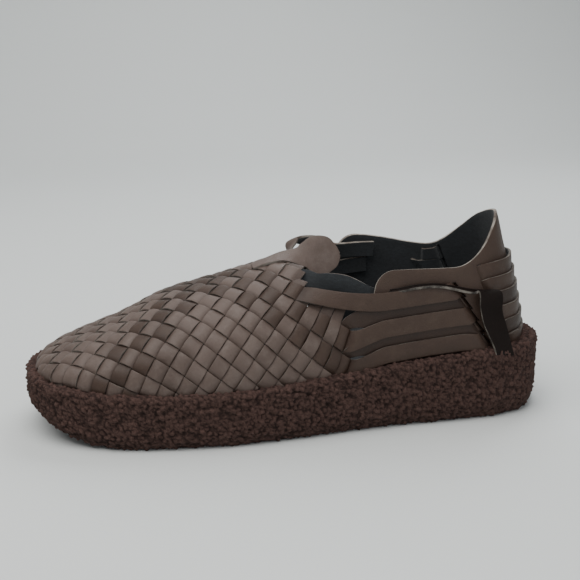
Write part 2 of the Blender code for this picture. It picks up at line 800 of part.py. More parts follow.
def build():
    """Makes every sub-part."""
    for item in list(bpy.data.objects):
        bpy.data.objects.remove(item, do_unlink=True)
    leather = material("woven_leather", (0.150, 0.105, 0.088), 0.55)
    leaf_leather = material("leaf_leather", (0.130, 0.088, 0.070), 0.50)
    tongue_leather = material("tongue_leather", (0.175, 0.125, 0.105), 0.55)
    strap_leather = material("strap_leather", (0.140, 0.095, 0.078), 0.55)
    crumb = material("crumb_rubber", (0.085, 0.050, 0.042), 0.95)
    sock = material("sock_leather", (0.035, 0.040, 0.045), 0.80)

    outsole(crumb)
    insole(sock)
    upper = weave(Pattern(WEAVE_LAST_ROW), leather)
    boolean(upper, strap_band(leather), "UNION")
    boolean(upper, sole_space(leather), "DIFFERENCE")
    counter(leaf_leather)
    strap("collar_strap_lateral", LATERAL, COLLAR_LATERAL, strap_leather)
    strap("collar_strap_medial", MEDIAL, COLLAR_MEDIAL, strap_leather)
    strap("tongue", LATERAL, TONGUE, tongue_leather)
    for name, side in (("pull_strap_lateral", LATERAL), ("pull_strap_medial", MEDIAL)):
        strap(name, side, pull_strap_rows(side), strap_leather)


if __name__ == "__main__":
    build()
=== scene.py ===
"""Looks of a left woven sandal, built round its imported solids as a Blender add-on that also runs as a script.

Every leather strip is a ribbon with its own thickness, laid on the last on which the shoe is made. The last
is the one of the solids: toe at -X, outer side at -Y, floor at z = 0, all sizes in metres.
"""

from collections import namedtuple
from math import cos, pi, sin, sqrt

import bpy
from bpy.props import FloatProperty, FloatVectorProperty, IntProperty, PointerProperty
from mathutils import Matrix, Vector, noise
from mathutils.bvhtree import BVHTree
from mathutils.interpolate import poly_3d_calc


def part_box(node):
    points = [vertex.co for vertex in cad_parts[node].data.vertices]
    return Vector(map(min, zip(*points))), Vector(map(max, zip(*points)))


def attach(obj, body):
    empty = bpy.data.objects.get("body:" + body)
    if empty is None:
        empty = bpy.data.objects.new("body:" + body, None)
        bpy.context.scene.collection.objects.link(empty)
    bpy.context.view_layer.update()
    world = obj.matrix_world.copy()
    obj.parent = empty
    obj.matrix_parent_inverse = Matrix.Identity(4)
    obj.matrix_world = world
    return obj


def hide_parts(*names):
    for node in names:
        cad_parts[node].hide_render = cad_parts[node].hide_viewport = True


bl_info = {
    "name": "Woven Sandal",
    "version": (1, 0, 0),
    "blender": (4, 5, 0),
    "location": "View3D > Sidebar > Sandal",
    "description": "Dresses a packed woven sandal with strips, straps, a heel leaf and a crumb sole",
    "category": "Object",
}

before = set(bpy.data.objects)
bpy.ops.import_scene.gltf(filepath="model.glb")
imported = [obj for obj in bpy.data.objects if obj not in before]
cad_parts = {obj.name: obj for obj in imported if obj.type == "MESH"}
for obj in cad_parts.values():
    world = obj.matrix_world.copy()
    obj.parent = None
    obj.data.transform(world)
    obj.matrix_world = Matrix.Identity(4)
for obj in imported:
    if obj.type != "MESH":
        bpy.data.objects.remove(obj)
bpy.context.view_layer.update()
SOLE_LOW, SOLE_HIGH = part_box("outsole")

# Last, as in the solids
SOLE_LENGTH = SOLE_HIGH.x - SOLE_LOW.x
BALL_WIDTH = 0.110
FOREFOOT_THICKNESS = 0.0305
HEEL_THICKNESS = 0.0425
TOE_RIM_HEIGHT = 0.0350
TOE_SPRING = 0.0165
SIDE_TUCK = 0.0045
RIM_ROUND = 0.0032
LEDGE = 0.0080
HEEL_LEDGE = 0.0125
INSTEP_HEIGHT = 0.0600
CLEARANCE = 0.0003
SKIRT_DEPTH = 0.0140
MIDDLE_ASIDE = -0.0036
TOE_SPRING_ENDS = 0.17
TOE_RIM_ENDS = 0.30
HEEL_RISE_FROM = 0.32
HEEL_RISE_TO = 0.95
LEDGE_WIDENS_FROM = 0.86
LEDGE_WIDENS_TO = 1.00
LATERAL = -1
MEDIAL = 1

# Weave, in metres and in cells of the net
STRIP_PITCH = 0.0096
WEAVE_MIDDLE = 0.00165
WEAVE_SWING = 0.00105
THROAT_ALONG = 0.473
SOLE_TUCK = 0.0030
WEAVE_LAST_ROW = 9.4
STRIP_END = 0.85
LONG_END = 1.3
STRIP_CROWN = 0.00014
PATTERN_SLACK = 0.004
WEAVE_SKIRT = 0.6

# How much higher the weave lies at the throat's outer edge, by cell along the strip, in metres
Sag = namedtuple("Sag", "along sag")
THROAT_SAG = [
    Sag(1, 0.0),
    Sag(2, -0.0010),
    Sag(3, -0.0010),
    Sag(4, 0.0),
    Sag(5, 0.0020),
    Sag(6, 0.0036),
    Sag(7, 0.0046),
]
SAG_FADES = (-4.6, -2.3)

# Last cell that a strip crosses before it leaves the weave, by the strip's number from the throat
LAST_CROSSING = {
    LATERAL: {0: 0, -1: 2, -2: 3, -3: 8},
    MEDIAL: {0: 0, -1: 5, -2: 7, -3: 8},
}

# Strips that run on as side straps, the top one first, and whether they rise to it or fall
SideStrap = namedtuple("SideStrap", "strip rises")
SIDE_STRAPS = [
    SideStrap(-2, False),
    SideStrap(8, True),
    SideStrap(-3, False),
    SideStrap(9, True),
    SideStrap(-4, False),
]

# Side straps and heel wraps: heights above the sole, then offsets from the last, whose even straps lie lower
WRAP_COUNT = 6
SIDE_TOP = 0.0347
SIDE_PITCH = 0.0073
HEEL_TOP = 0.0422
HEEL_PITCH = 0.0082
# Tone added to each wrap, top one first: the even straps, which lie lower, are darkened with painted shade; the
# others differ a little in tone
STRAP_TONES_AND_PAINTED_SHADE = (0.0, 0.16, -0.45, 0.20, -0.40, 0.08)
LAYER_OVER = 0.0042
LAYER_UNDER = 0.0026
HEEL_OFFSET = 0.0026
HEEL_LAP = 0.0016
HEEL_LAP_GROWS = (0.86, 0.90)
WRAP_CROWN = 0.0002
UNDER_WIDENS = 0.5
INSIDE_OFFSET = -0.0011
INNER_SLOTS_FORWARD = 0.006
HEEL_WRAP_FROM = 0.80
HEEL_WRAP_TO = 0.90
TOP_WRAP_FROM = 0.0875
HANDOVER_X = 0.048

# Loose straps: narrowest width, height of the crown, curl of the pull straps' rear edge, and thicknesses
STRAP_NARROWEST = 0.0006
STRAP_CROWN = 0.0003
PULL_CURL = 0.0011
COLLAR_THICKNESS = 0.0016
PULL_THICKNESS = 0.0015
TONGUE_THICKNESS = 0.0015

# Slots in the leaf, in metres: places along X, how the row of slots leans, and each slot's reach and slant
FRONT_SLOT_X = 0.0912
FRONT_SLOTS_LEAN = 0.56
FRONT_SLOT_SLANT = 0.75
REAR_SLOT_X = 0.1035
REAR_SLOTS_LEAN = 0.42
REAR_SLOT_BACK = 0.0012
REAR_SLOTS_ALONG = 0.87
SLOT_BELOW = 0.0044
SLOT_ABOVE = 0.0046
SLOT_HALF = 0.0010
FRONT_DIVE = (-0.0035, 0.0015)
REAR_DIVE = (-0.0015, 0.0040)

# Heel leaf
LEAF_THICKNESS = 0.0017
LEAF_MIDDLE = 0.0009
LEAF_TOP_SIDE = 0.0470
LEAF_WING_MEDIAL = 0.0135
LEAF_WING_LATERAL = 0.0040
LEAF_TOP_HEEL = 0.0730
LEAF_CORNER = 0.0120
LEAF_FRONT_LATERAL = 0.640
LEAF_FRONT_MEDIAL = 0.610
WING_ENDS_ALONG = 0.840
LEAF_PEAK_ALONG = 0.985

# Camera and floor
CAMERA_PLACE = Vector((-0.0932, -0.5718, 0.2300))
CAMERA_AIM = Vector((0.1552, 0.9523, -0.2629))
CAMERA_LENS = 64.8

Section = namedtuple("Section", "along lateral medial crest_along crest_aside fullness")
SECTIONS = [
    Section(0.000, 0.000, 0.000, 0.125, 0.000, 2.60),
    Section(0.010, 0.190, 0.180, 0.128, 0.004, 2.60),
    Section(0.042, 0.330, 0.310, 0.150, 0.012, 2.55),
    Section(0.095, 0.425, 0.395, 0.190, 0.022, 2.50),
    Section(0.165, 0.492, 0.442, 0.240, 0.030, 2.40),
    Section(0.255, 0.526, 0.466, 0.305, 0.036, 2.30),
    Section(0.360, 0.532, 0.462, 0.382, 0.040, 2.20),
    Section(0.470, 0.500, 0.420, 0.470, 0.040, 2.15),
    Section(0.580, 0.450, 0.385, 0.580, 0.036, 2.10),
    Section(0.700, 0.405, 0.365, 0.690, 0.022, 2.00),
    Section(0.810, 0.385, 0.355, 0.765, 0.010, 1.80),
    Section(0.900, 0.350, 0.330, 0.805, 0.004, 1.50),
    Section(0.966, 0.245, 0.235, 0.835, 0.000, 1.30),
    Section(1.000, 0.000, 0.000, 0.847, 0.000, 1.25),
]
HEEL_ROW = len(SECTIONS) - 1

Crest = namedtuple("Crest", "along height")
CREST = [
    Crest(0.030, 0.09),
    Crest(0.100, 0.25),
    Crest(0.177, 0.41),
    Crest(0.268, 0.645),
    Crest(0.340, 0.745),
    Crest(0.413, 0.84),
    Crest(0.493, 0.94),
    Crest(0.560, 1.06),
    Crest(0.630, 1.36),
    Crest(0.700, 1.68),
    Crest(0.800, 1.80),
    Crest(1.000, 1.80),
]


def catmull(before, start, end, after, t):
    """Value between start and end on a smooth curve through all four."""
    linear = (end - before) * t
    square = (2 * before - 5 * start + 4 * end - after) * t ** 2
    cube = (3 * start - before - 3 * end + after) * t ** 3
    return 0.5 * (2 * start + linear + square + cube)


def along_curve(values, i, t):
    """Value between one of a list and the next, on a smooth curve that runs on straight past the ends."""
    first, second = values[i], values[i + 1]
    before = values[i - 1] if i > 0 else 2 * first - second
    after = values[i + 2] if i + 2 < len(values) else 2 * second - first
    return catmull(before, first, second, after, t)


def smooth_table(rows, column, along):
    """Column of a table at a share of the length, on a smooth curve that runs on straight past the ends."""
    places = [row.along for row in rows]
    values = [getattr(row, column) for row in rows]
    inner = range(1, len(rows) - 1)
    steps = [(values[i + 1] - values[i]) / (places[i + 1] - places[i]) for i in range(len(rows) - 1)]
    slopes = [steps[0]] + [(steps[i - 1] + steps[i]) / 2 for i in inner] + [steps[-1]]
    if along <= places[0]:
        return values[0] + slopes[0] * (along - places[0])
    if along >= places[-1]:
        return values[-1]
    i = max(k for k in range(len(rows) - 1) if places[k] <= along)
    span = places[i + 1] - places[i]
    t = (along - places[i]) / span
    rise = (3 - 2 * t) * t * t
    start_bend = t * (1 - t) ** 2 * slopes[i] * span
    end_bend = t * t * (t - 1) * slopes[i + 1] * span
    return values[i] * (1 - rise) + values[i + 1] * rise + start_bend + end_bend


def blend(value, start, end):
    """Smooth step from 0 at start to 1 at end."""
    t = min(max((value - start) / (end - start), 0.0), 1.0)
    return t * t * (3 - 2 * t)


def between(start, end, t):
    """Value a share t of the way from start to end."""
    return start + (end - start) * t


def spread(start, end, count):
    """Evenly spaced values from start to end."""
    return [between(start, end, i / count) for i in range(count + 1)]


def share_of_length(x):
    """Share of the sole's length from the toe at a place along X."""
    return x / SOLE_LENGTH + 0.5


def sole_top(x):
    """Height of the sole's top above the floor."""
    along = share_of_length(x)
    toe = min(max(1 - along / TOE_RIM_ENDS, 0.0), 1.0) ** 2.2
    heel = blend(along, HEEL_RISE_FROM, HEEL_RISE_TO)
    toe_rise = TOE_RIM_HEIGHT - FOREFOOT_THICKNESS
    heel_rise = HEEL_THICKNESS - FOREFOOT_THICKNESS
    return FOREFOOT_THICKNESS + toe_rise * toe + heel_rise * heel


def sole_bottom(x):
    """Height of the sole's underside, flat but for the toe spring."""
    toe = max(1 - share_of_length(x) / TOE_SPRING_ENDS, 0.0)
    return TOE_SPRING * toe ** 2


def wrap(u, side):
    """Row position and side with u brought back between the toe row and the heel row."""
    if u < 0:
        return -u, -side
    if u > HEEL_ROW:
        return 2 * HEEL_ROW - u, -side
    return u, side


def section_column(column, u):
    """Column of SECTIONS at a row position, mirrored past the toe and the heel."""
    first = min(int(u), HEEL_ROW - 1)
    rows = [HEEL_ROW - abs(HEEL_ROW - abs(first + step)) for step in (-1, 0, 1, 2)]
    return catmull(*[getattr(SECTIONS[row], column) for row in rows], u - first)


def breadth(u, side):
    """Half breadth of the outline on one side, as a share of BALL_WIDTH."""
    own, other = ("medial", "lateral") if side == MEDIAL else ("lateral", "medial")
    first = min(int(u), HEEL_ROW - 1)
    values = []
    for row in range(first - 1, first + 3):
        if 0 <= row <= HEEL_ROW:
            values.append(getattr(SECTIONS[row], own))
        else:
            values.append(-getattr(SECTIONS[HEEL_ROW - abs(HEEL_ROW - abs(row))], other))
    return catmull(*values, u - first)


def outline(u, side):
    """Plan point of the sole's outline."""
    u, side = wrap(u, side)
    x = (section_column("along", u) - 0.5) * SOLE_LENGTH
    return Vector((x, side * breadth(u, side) * BALL_WIDTH - MIDDLE_ASIDE))


def outline_out(u, side, step=0.02):
    """Outward direction of the outline in plan."""
    tangent = (outline(u + step, side) - outline(u - step, side)).normalized()
    return Vector((tangent.y, -tangent.x)) * -side


def outset(u, side, distance):
    """Plan point that lies a distance outside the outline."""
    return outline(u, side) + outline_out(u, side) * distance


def ledge(u):
    """Width of the sole's top outside the last."""
    widened = blend(section_column("along", u), LEDGE_WIDENS_FROM, LEDGE_WIDENS_TO)
    return LEDGE + (HEEL_LEDGE - LEDGE) * widened


def crest_height(x):
    """Height of the last's crest line above the floor."""
    return sole_top(x) + INSTEP_HEIGHT * smooth_table(CREST, "height", share_of_length(x))


def last_point(u, side, lift):
    """Point of the last on section u, from the feather line at lift 0 to the crest at lift 1."""
    u, side = wrap(u, side)
    foot = outset(u, side, -ledge(u))
    crest_x = (section_column("crest_along", u) - 0.5) * SOLE_LENGTH
    crest = Vector((crest_x, section_column("crest_aside", u) * BALL_WIDTH - MIDDLE_ASIDE))
    power = 2 / section_column("fullness", u)
    angle = min(max(lift, 0.0), 1.0) * pi / 2
    plan = foot.lerp(crest, 1 - abs(cos(angle)) ** power)
    base = sole_top(foot.x) + CLEARANCE
    z = base + (crest_height(plan.x) - base) * sin(angle) ** power + min(lift, 0.0) * SKIRT_DEPTH
    return Vector((plan.x, plan.y, z))


def last_normal(u, side, lift, step=0.01):
    """Outward direction of the last."""
    if lift > 1 - 2 * step:
        x = last_point(u, side, 1.0).x
        slope = (crest_height(x + 0.001) - crest_height(x - 0.001)) / 0.002
        return Vector((-slope, 0, 1)).normalized()
    along = last_point(u + step, side, lift) - last_point(u - step, side, lift)
    up = last_point(u, side, lift + step) - last_point(u, side, lift - step)
    return (along.cross(up) * -side).normalized()


def row_at(x):
    """Row position at which the outline passes a place along X."""
    low, high = 0.0, float(HEEL_ROW)
    for _ in range(20):
        middle = (low + high) / 2
        if outline(middle, LATERAL).x < x:
            low = middle
        else:
            high = middle
    return low


class Wall:
    """The last's wall by row position and height above the sole, looked up in a fine grid."""

    ROW_STEP = 0.125
    FIRST_ROW = 5.0
    LOW = -0.012
    HEIGHT_STEP = 0.0025
    LAYERS = 38

    def __init__(self, side):
        self.side = side
        count = int((HEEL_ROW - self.FIRST_ROW) / self.ROW_STEP) + 1
        self.columns = [self.column(self.FIRST_ROW + i * self.ROW_STEP) for i in range(count)]

    def column(self, u):
        """Points and normals up one row, at even heights."""
        lifts = [-1.0] + spread(0.0, 1.0, 90)
        curve = [(last_point(u, self.side, lift), last_normal(u, self.side, max(lift, 0.02)))
                 for lift in lifts]
        base = curve[1][0].z
        heights = [point.z - base for point, _ in curve]
        column = []
        k = 0
        for layer in range(self.LAYERS):
            height = self.LOW + layer * self.HEIGHT_STEP
            while k < len(heights) - 2 and heights[k + 1] < height:
                k += 1
            t = (height - heights[k]) / (heights[k + 1] - heights[k])
            point = curve[k][0].lerp(curve[k + 1][0], t)
            column.append((point, curve[k][1].lerp(curve[k + 1][1], t).normalized()))
        return column

    def at_row(self, u, height):
        """Point and normal on a row at a height above the sole."""
        i = min(max((u - self.FIRST_ROW) / self.ROW_STEP, 0.0), len(self.columns) - 1.001)
        k = min(max((height - self.LOW) / self.HEIGHT_STEP, 0.0), self.LAYERS - 1.001)
        column, layer = int(i), int(k)
        across, up = i - column, k - layer
        quad = [self.columns[column + a][layer + b] for a in (0, 1) for b in (0, 1)]
        weights = [(1 - across) * (1 - up), (1 - across) * up, across * (1 - up), across * up]
        point = sum((corner[0] * weight for corner, weight in zip(quad, weights)), Vector())
        normal = sum((corner[1] * weight for corner, weight in zip(quad, weights)), Vector())
        return point, normal.normalized()

    def at(self, x, height):
        """Point and normal at a place along X and a height above the sole."""
        low, high = self.FIRST_ROW, float(HEEL_ROW)
        for _ in range(16):
            middle = (low + high) / 2
            if self.at_row(middle, height)[0].x < x:
                low = middle
            else:
                high = middle
        return self.at_row(low, height)


WALLS = {LATERAL: Wall(LATERAL), MEDIAL: Wall(MEDIAL)}


class Net:
    """The weave's net of cells, laid flat over the crest.

    On the flat, a and b count cells along the two diagonals. The strips of constant a run down the outer side
    and back, those of constant b run down the inner side and back.
    """

    ROW_STEPS = 8
    LIFT_STEPS = 24

    def __init__(self):
        self.step = STRIP_PITCH / sqrt(2)
        self.lay_flat()
        self.throat = self.crest_run((THROAT_ALONG - 0.5) * SOLE_LENGTH)

    def lay_flat(self):
        """Lays the last's points flat, row by row away from the crest."""
        rows = spread(0.0, WEAVE_LAST_ROW, int(WEAVE_LAST_ROW * self.ROW_STEPS))
        lifts = [-1.0, -0.5] + spread(0.0, 1.0, self.LIFT_STEPS)
        width = len(lifts)
        self.places, self.normals, self.flats, self.quads = [], [], [], []
        for side in (LATERAL, MEDIAL):
            run = 0.0
            crest = last_point(0.0, side, 1.0)
            start = len(self.places)
            for u in rows:
                column = [last_point(u, side, lift) for lift in lifts]
                run += (column[-1] - crest).length
                crest = column[-1]
                foot = last_point(u, side, 0.0)
                away = Vector((foot.x - crest.x, foot.y - crest.y, 0)).normalized()
                reach = 0.0
                flat = [Vector((run, 0, 0))]
                for upper, lower in zip(column[:0:-1], column[-2::-1]):
                    reach += (upper - lower).length
                    flat.append(Vector((run, 0, 0)) + away * reach)
                self.places += column
                self.flats += flat[::-1]
                self.normals += [last_normal(u, side, lift) for lift in lifts]
            for i in range(len(rows) - 1):
                for k in range(width - 1):
                    a = start + i * width + k
                    self.quads.append((a, a + 1, a + width + 1, a + width))
        self.tree = BVHTree.FromPolygons(self.flats, self.quads)

    def crest_run(self, x):
        """Length along the crest, on the flat, to a place along X."""
        width = self.LIFT_STEPS + 3
        nearest = min(range(width - 1, len(self.places), width), key=lambda k: abs(self.places[k].x - x))
        return self.flats[nearest].x

    def flat(self, a, b):
        """Place on the flat of a place in the net."""
        return Vector((self.throat + (a + b) * self.step, (a - b) * self.step, 0))

    def on_last(self, a, b):
        """Point and normal of the last at a place in the net, with how far outside the pattern it lies."""
        place, _, index, distance = self.tree.find_nearest(self.flat(a, b))
        quad = self.quads[index]
        weights = poly_3d_calc([self.flats[k] for k in quad], place)
        point = sum((self.places[k] * w for k, w in zip(quad, weights)), Vector())
        normal = sum((self.normals[k] * w for k, w in zip(quad, weights)), Vector())
        return point, normal.normalized(), distance

    def place(self, strip, along, direction):
        """Point and normal of the last, and height above the sole, at a place along a strip."""
        a, b = (strip, along) if direction == "b" else (along, strip)
        point, normal, _ = self.on_last(a, b)
        height = height_of(point)
        sag = throat_sag(a, b)
        if abs(sag) > 0.0001 and b > a:
            point, normal = WALLS[LATERAL].at(point.x, height + sag)
            height += sag
        return point, normal, height

    def kept(self, a, b):
        """Whether the weave has the cell."""
        low, high = min(a, b), max(a, b)
        if low > 0 or high > LAST_CROSSING[MEDIAL if a > b else LATERAL].get(low, 9):
            return False
        point, _, outside = self.on_last(a, b)
        return outside < PATTERN_SLACK and height_of(point) > -WEAVE_SKIRT * SKIRT_DEPTH


def throat_sag(a, b):
    """How much higher than its even net the weave lies along the outer edge of the throat."""
    first = min(max(int(b), THROAT_SAG[0].along), THROAT_SAG[-1].along - 1)
    rows = [row for row in THROAT_SAG if row.along in (first, first + 1)]
    t = min(max(b - first, 0.0), 1.0)
    return between(rows[0].sag, rows[1].sag, t) * blend(a, *SAG_FADES)


def height_of(point):
    """Height of a point above the last's feather line."""
    return point.z - sole_top(point.x) - CLEARANCE


def wobble(point, scale, seed):
    """Smooth random number from -1 to 1 at a point."""
    return noise.noise(point * scale + Vector((seed, seed * 1.7, -seed)))


def strap_height(index, along):
    """Height above the sole of a wrap's middle line, counted from the top one."""
    side = SIDE_TOP - SIDE_PITCH * (index - 1)
    heel = HEEL_TOP - HEEL_PITCH * index
    return between(side, heel, blend(along, HEEL_WRAP_FROM, HEEL_WRAP_TO))


def front_slot(row, rise):
    """Place along X of a front slot, counted from the top one, at a height above the slot's middle."""
    return FRONT_SLOT_X + SIDE_PITCH * row * FRONT_SLOTS_LEAN - rise * FRONT_SLOT_SLANT


def rear_slot(height):
    """Place along X of the rear slots at a height above the sole, on the outer side."""
    return REAR_SLOT_X + (HEEL_TOP - height) * REAR_SLOTS_LEAN


def through_leaf(x, height, centre, side=LATERAL):
    """Share by which a strap lies inside the leaf rather than outside, with the slots' place in between."""
    x += INNER_SLOTS_FORWARD if side == MEDIAL else 0.0
    row = round((SIDE_TOP - centre) / SIDE_PITCH)
    front = front_slot(row, height - centre)
    rear = rear_slot(height)
    dived = blend(x, front + FRONT_DIVE[0], front + FRONT_DIVE[1])
    return dived * (1 - blend(x, rear + REAR_DIVE[0], rear + REAR_DIVE[1]))


# Ribbons

def select_none():
    """Leaves nothing selected."""
    bpy.ops.object.select_all(action="DESELECT")


def select_only(*items):
    """Leaves only these objects selected, the first of them active."""
    select_none()
    for item in items:
        item.select_set(True)
    bpy.context.view_layer.objects.active = items[0]


def grid_sheet(rows, tones):
    """Sheet through rows of points, with a tone number on each point."""
    select_none()
    bpy.ops.mesh.primitive_grid_add(x_subdivisions=len(rows[0]) - 1, y_subdivisions=len(rows) - 1, size=1)
    item = bpy.context.active_object
    item.data.vertices.foreach_set("co", [value for row in rows for point in row for value in point])
    # The tone number sets how dark the surface is painted: random tone, and painted shade where strips dive and
    # straps lie low; on the sole it is the crumbs' height, which sets painted shade in the pits
    layer = item.data.attributes.new("tone", "FLOAT", "POINT")
    layer.data.foreach_set("value", [tone for row in tones for tone in row])
    return item


def ribbon(rows, outward, tones, at=0):
    """Sheet through rows of points, facing outward at one of its rows, with a tone number on each point."""
    if (rows[at][-1] - rows[at][0]).cross(rows[at + 1][0] - rows[at][0]).dot(outward) < 0:
        rows = [row[::-1] for row in rows]
        tones = [row[::-1] for row in tones]
    return grid_sheet(rows, tones)


def join(items, name):
    """Joins sheets into one piece."""
    select_only(*items)
    if len(items) > 1:
        bpy.ops.object.join()
    item = bpy.context.active_object
    item.name = name
    item.data.name = name
    return item


def apply_modifier(item, name, kind, **settings):
    """Adds a modifier and applies it."""
    modifier = item.modifiers.new(name, kind)
    for key, value in settings.items():
        setattr(modifier, key, value)
    select_only(item)
    bpy.ops.object.modifier_apply(modifier=modifier.name)


def thicken(item, thickness, faces, bevel=0.00028):
    """Gives a sheet its thickness and soft edges, and its grain, flesh and cut-edge leathers."""
    for surface in faces:
        item.data.materials.append(surface)
    apply_modifier(item, "Thickness", "SOLIDIFY", thickness=thickness, offset=0.0, use_even_offset=False,
                   material_offset=1, material_offset_rim=2)
    apply_modifier(item, "Soft edges", "BEVEL", width=bevel, segments=2, limit_method="ANGLE",
                   angle_limit=0.9)
    select_only(item)
    bpy.ops.object.shade_smooth_by_angle(angle=0.7)


def settle(item, node):
    """Hands a finished piece to the frame in place of a solid."""
    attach(item, "root")
    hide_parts(*node)


ACROSS = [-0.5, -0.43, -0.2, 0.2, 0.43, 0.5]
CELL_STEPS = [-0.5, -0.41, -0.28, 0.0, 0.28, 0.41]


def swing_at(t, over):
    """Height of a strip in a cell, from -1 when it passes under to 1 when it passes over."""
    arch = abs(cos(pi * t)) ** 0.6
    return -0.35 + 1.35 * arch if over else -0.35 - 0.65 * arch


def across_strip(net, strip, direction, along, width, swing, seed):
    """Row of points across a strip at a place along it, and the height of its middle above the sole."""
    row = []
    middle = 0.0
    for share in ACROSS:
        point, normal, height = net.place(strip + share * width / STRIP_PITCH, along, direction)
        lifted = WEAVE_MIDDLE + WEAVE_SWING * swing - STRIP_CROWN * (2 * share) ** 4
        row.append(point + normal * (lifted + 0.00016 * wobble(point, 70.0, seed)))
        middle += height / len(ACROSS)
    return row, middle


def woven_rows(net, strip, direction, first, last, seed, sizes, leads_on=False):
    """Rows and tones of one strip that runs over and under from its first cell to its last."""
    stations = [(first - STRIP_END, -0.9)]
    for cell in range(first, last + 1):
        over = ((strip + cell) % 2 == 0) == (direction == "a")
        stations += [(cell + t, swing_at(t, over)) for t in CELL_STEPS]
    stations.append((last + 0.5, -0.35))
    if not leads_on:
        runs_on = LONG_END if direction == "a" and last == -3 else STRIP_END
        stations.append((last + runs_on, -0.9))
    shade = 0.5 + 0.9 * noise.noise(Vector((seed * 3.1, 0.5, 0.2)))
    rows, tones, low_row = [], [], None
    for along, swing in stations:
        width = sizes.strip_width * (1 + 0.03 * noise.noise(Vector((seed * 1.3, along * 0.8, 0.0))))
        row, height = across_strip(net, strip, direction, along, width, swing, seed)
        # Tone: a random share for each strip, and painted shade that darkens the strip where it dives under a
        # crossing strip
        tone = [0.24 * shade + 0.76 * (0.5 + 0.5 * swing)] * len(row)
        if height < -SOLE_TUCK:
            if rows:
                rows.append(row)
                tones.append(tone)
                break
            low_row = row, tone
            continue
        if low_row and not rows:
            rows.append(low_row[0])
            tones.append(low_row[1])
        rows.append(row)
        tones.append(tone)
    return rows, tones


def hermite(start, start_pull, end, end_pull, t):
    """Place on the smooth curve from start to end that leaves and arrives along the two pulls."""
    rise = (3 - 2 * t) * t * t
    return start.lerp(end, rise) + start_pull * (t * (1 - t) ** 2) - end_pull * (t * t * (1 - t))


def lead_rows(net, side, index, last, direction, sizes, seed):
    """Rows that turn a strip level out of its last crossing and run to where the wraps take over."""
    strip, rises = SIDE_STRAPS[index - 1]
    flip = -1 if rises else 1
    starts = []
    for share in ACROSS:
        edge = strip + flip * share * sizes.strip_width / STRIP_PITCH
        before, _, low = net.place(edge, last + 0.40, direction)
        here, _, high = net.place(edge, last + 0.50, direction)
        slope = Vector((here.x - before.x, high - low)).normalized()
        starts.append((Vector((here.x, high)), slope))
    rows, tones = [], []
    level = strap_height(index, share_of_length(HANDOVER_X))
    for t in spread(0.0, 1.0, 18)[1:]:
        row, places = [], []
        for share, (start, slope) in zip(ACROSS, starts):
            end = Vector((HANDOVER_X, level + share * sizes.strap_width))
            pull = (end.x - start.x) * 0.45
            places.append(hermite(start, slope * pull, end, Vector((pull * 1.8, 0)), t))
        middle = (places[0] + places[-1]) / 2
        wider = 1.0 if index % 2 else 1 + UNDER_WIDENS * sin(pi * t)
        for share, place in zip(ACROSS, places):
            place = middle + (place - middle) * wider
            point, normal = WALLS[side].at(place.x, place.y)
            woven = WEAVE_MIDDLE + WEAVE_SWING * between(-0.35, 1.1, blend(t, 0.0, 0.22))
            strap = strap_offset(place.x, place.y, share, index, seed)
            lifted = blend(t, 0.0, 0.35) if index % 2 else blend(t, 0.15, 0.8)
            row.append(point + normal * between(woven, strap, lifted))
        rows.append(row)
        # Tone: from the weave's towards the strap's, whose lower straps carry painted shade
        tones.append([0.45 + (0.25 + STRAP_TONES_AND_PAINTED_SHADE[index]) * blend(t, 0.0, 0.3)] * len(row))
    return rows, tones


def runs_of(net, strip, direction):
    """Stretches of cells that a strip crosses without a break."""
    runs = []
    for cell in range(-20, 12):
        a, b = (strip, cell) if direction == "b" else (cell, strip)
        if net.kept(a, b):
            if runs and runs[-1][1] == cell - 1:
                runs[-1][1] = cell
            else:
                runs.append([cell, cell])
    return runs


def strap_offset(x, height, share, index, seed, side=LATERAL):
    """Offset of a wrap from the last: outside the leaf, or inside it between the slots."""
    along = share_of_length(x)
    centre = strap_height(index, along)
    at_heel = blend(along, *HEEL_LAP_GROWS)
    layer = (LAYER_OVER if index % 2 else LAYER_UNDER) - WRAP_CROWN * (2 * share) ** 4
    outside = between(layer, HEEL_OFFSET + (0.5 + share) * HEEL_LAP, at_heel)
    inside = through_leaf(x, height, centre, side)
    point = Vector((x, height, index))
    sway = 0.0004 * noise.noise(point * 45.0 + Vector((0, 0, seed)))
    hidden = 1 - blend(x, TOP_WRAP_FROM, TOP_WRAP_FROM + 0.002) if index == 0 else 0.0
    return between(between(outside + sway, INSIDE_OFFSET, inside), LEAF_MIDDLE, hidden)


def heel_stations(start_x):
    """Row positions and sides from a place along X on the outer side, round the heel to the inner side."""
    first = row_at(start_x)
    rows = spread(first, HEEL_ROW - 0.02, 96)
    return [(u, LATERAL) for u in rows] + [(u, MEDIAL) for u in rows[::-1]]


def wrap_rows(index, start_x, sizes, seed):
    """Rows of one wrap from the outer side, through the slots and round the heel to the inner side."""
    rows, tones = [], []
    for u, side in heel_stations(start_x):
        foot = WALLS[side].at_row(u, 0.0)[0]
        if foot.x < start_x:
            continue
        along = share_of_length(foot.x)
        centre = strap_height(index, along)
        row, tone = [], []
        narrow = through_leaf(foot.x, centre, centre, side)
        width = sizes.strap_width * (1 - 0.25 * narrow)
        for share in ACROSS:
            height = centre + share * width
            point, normal = WALLS[side].at_row(u, height)
            offset = strap_offset(foot.x, height, share, index, seed, side)
            row.append(point + normal * offset)
            # Tone: painted shade where the strap runs inside the leaf, the strap's own tone and painted shade
            # from its number, and a little random tone
            tone.append(0.3 + 0.4 * (1 - narrow) + 0.2 * wobble(point, 30.0, seed) + STRAP_TONES_AND_PAINTED_SHADE[index])
        rows.append(row)
        tones.append(tone)
    return rows, tones


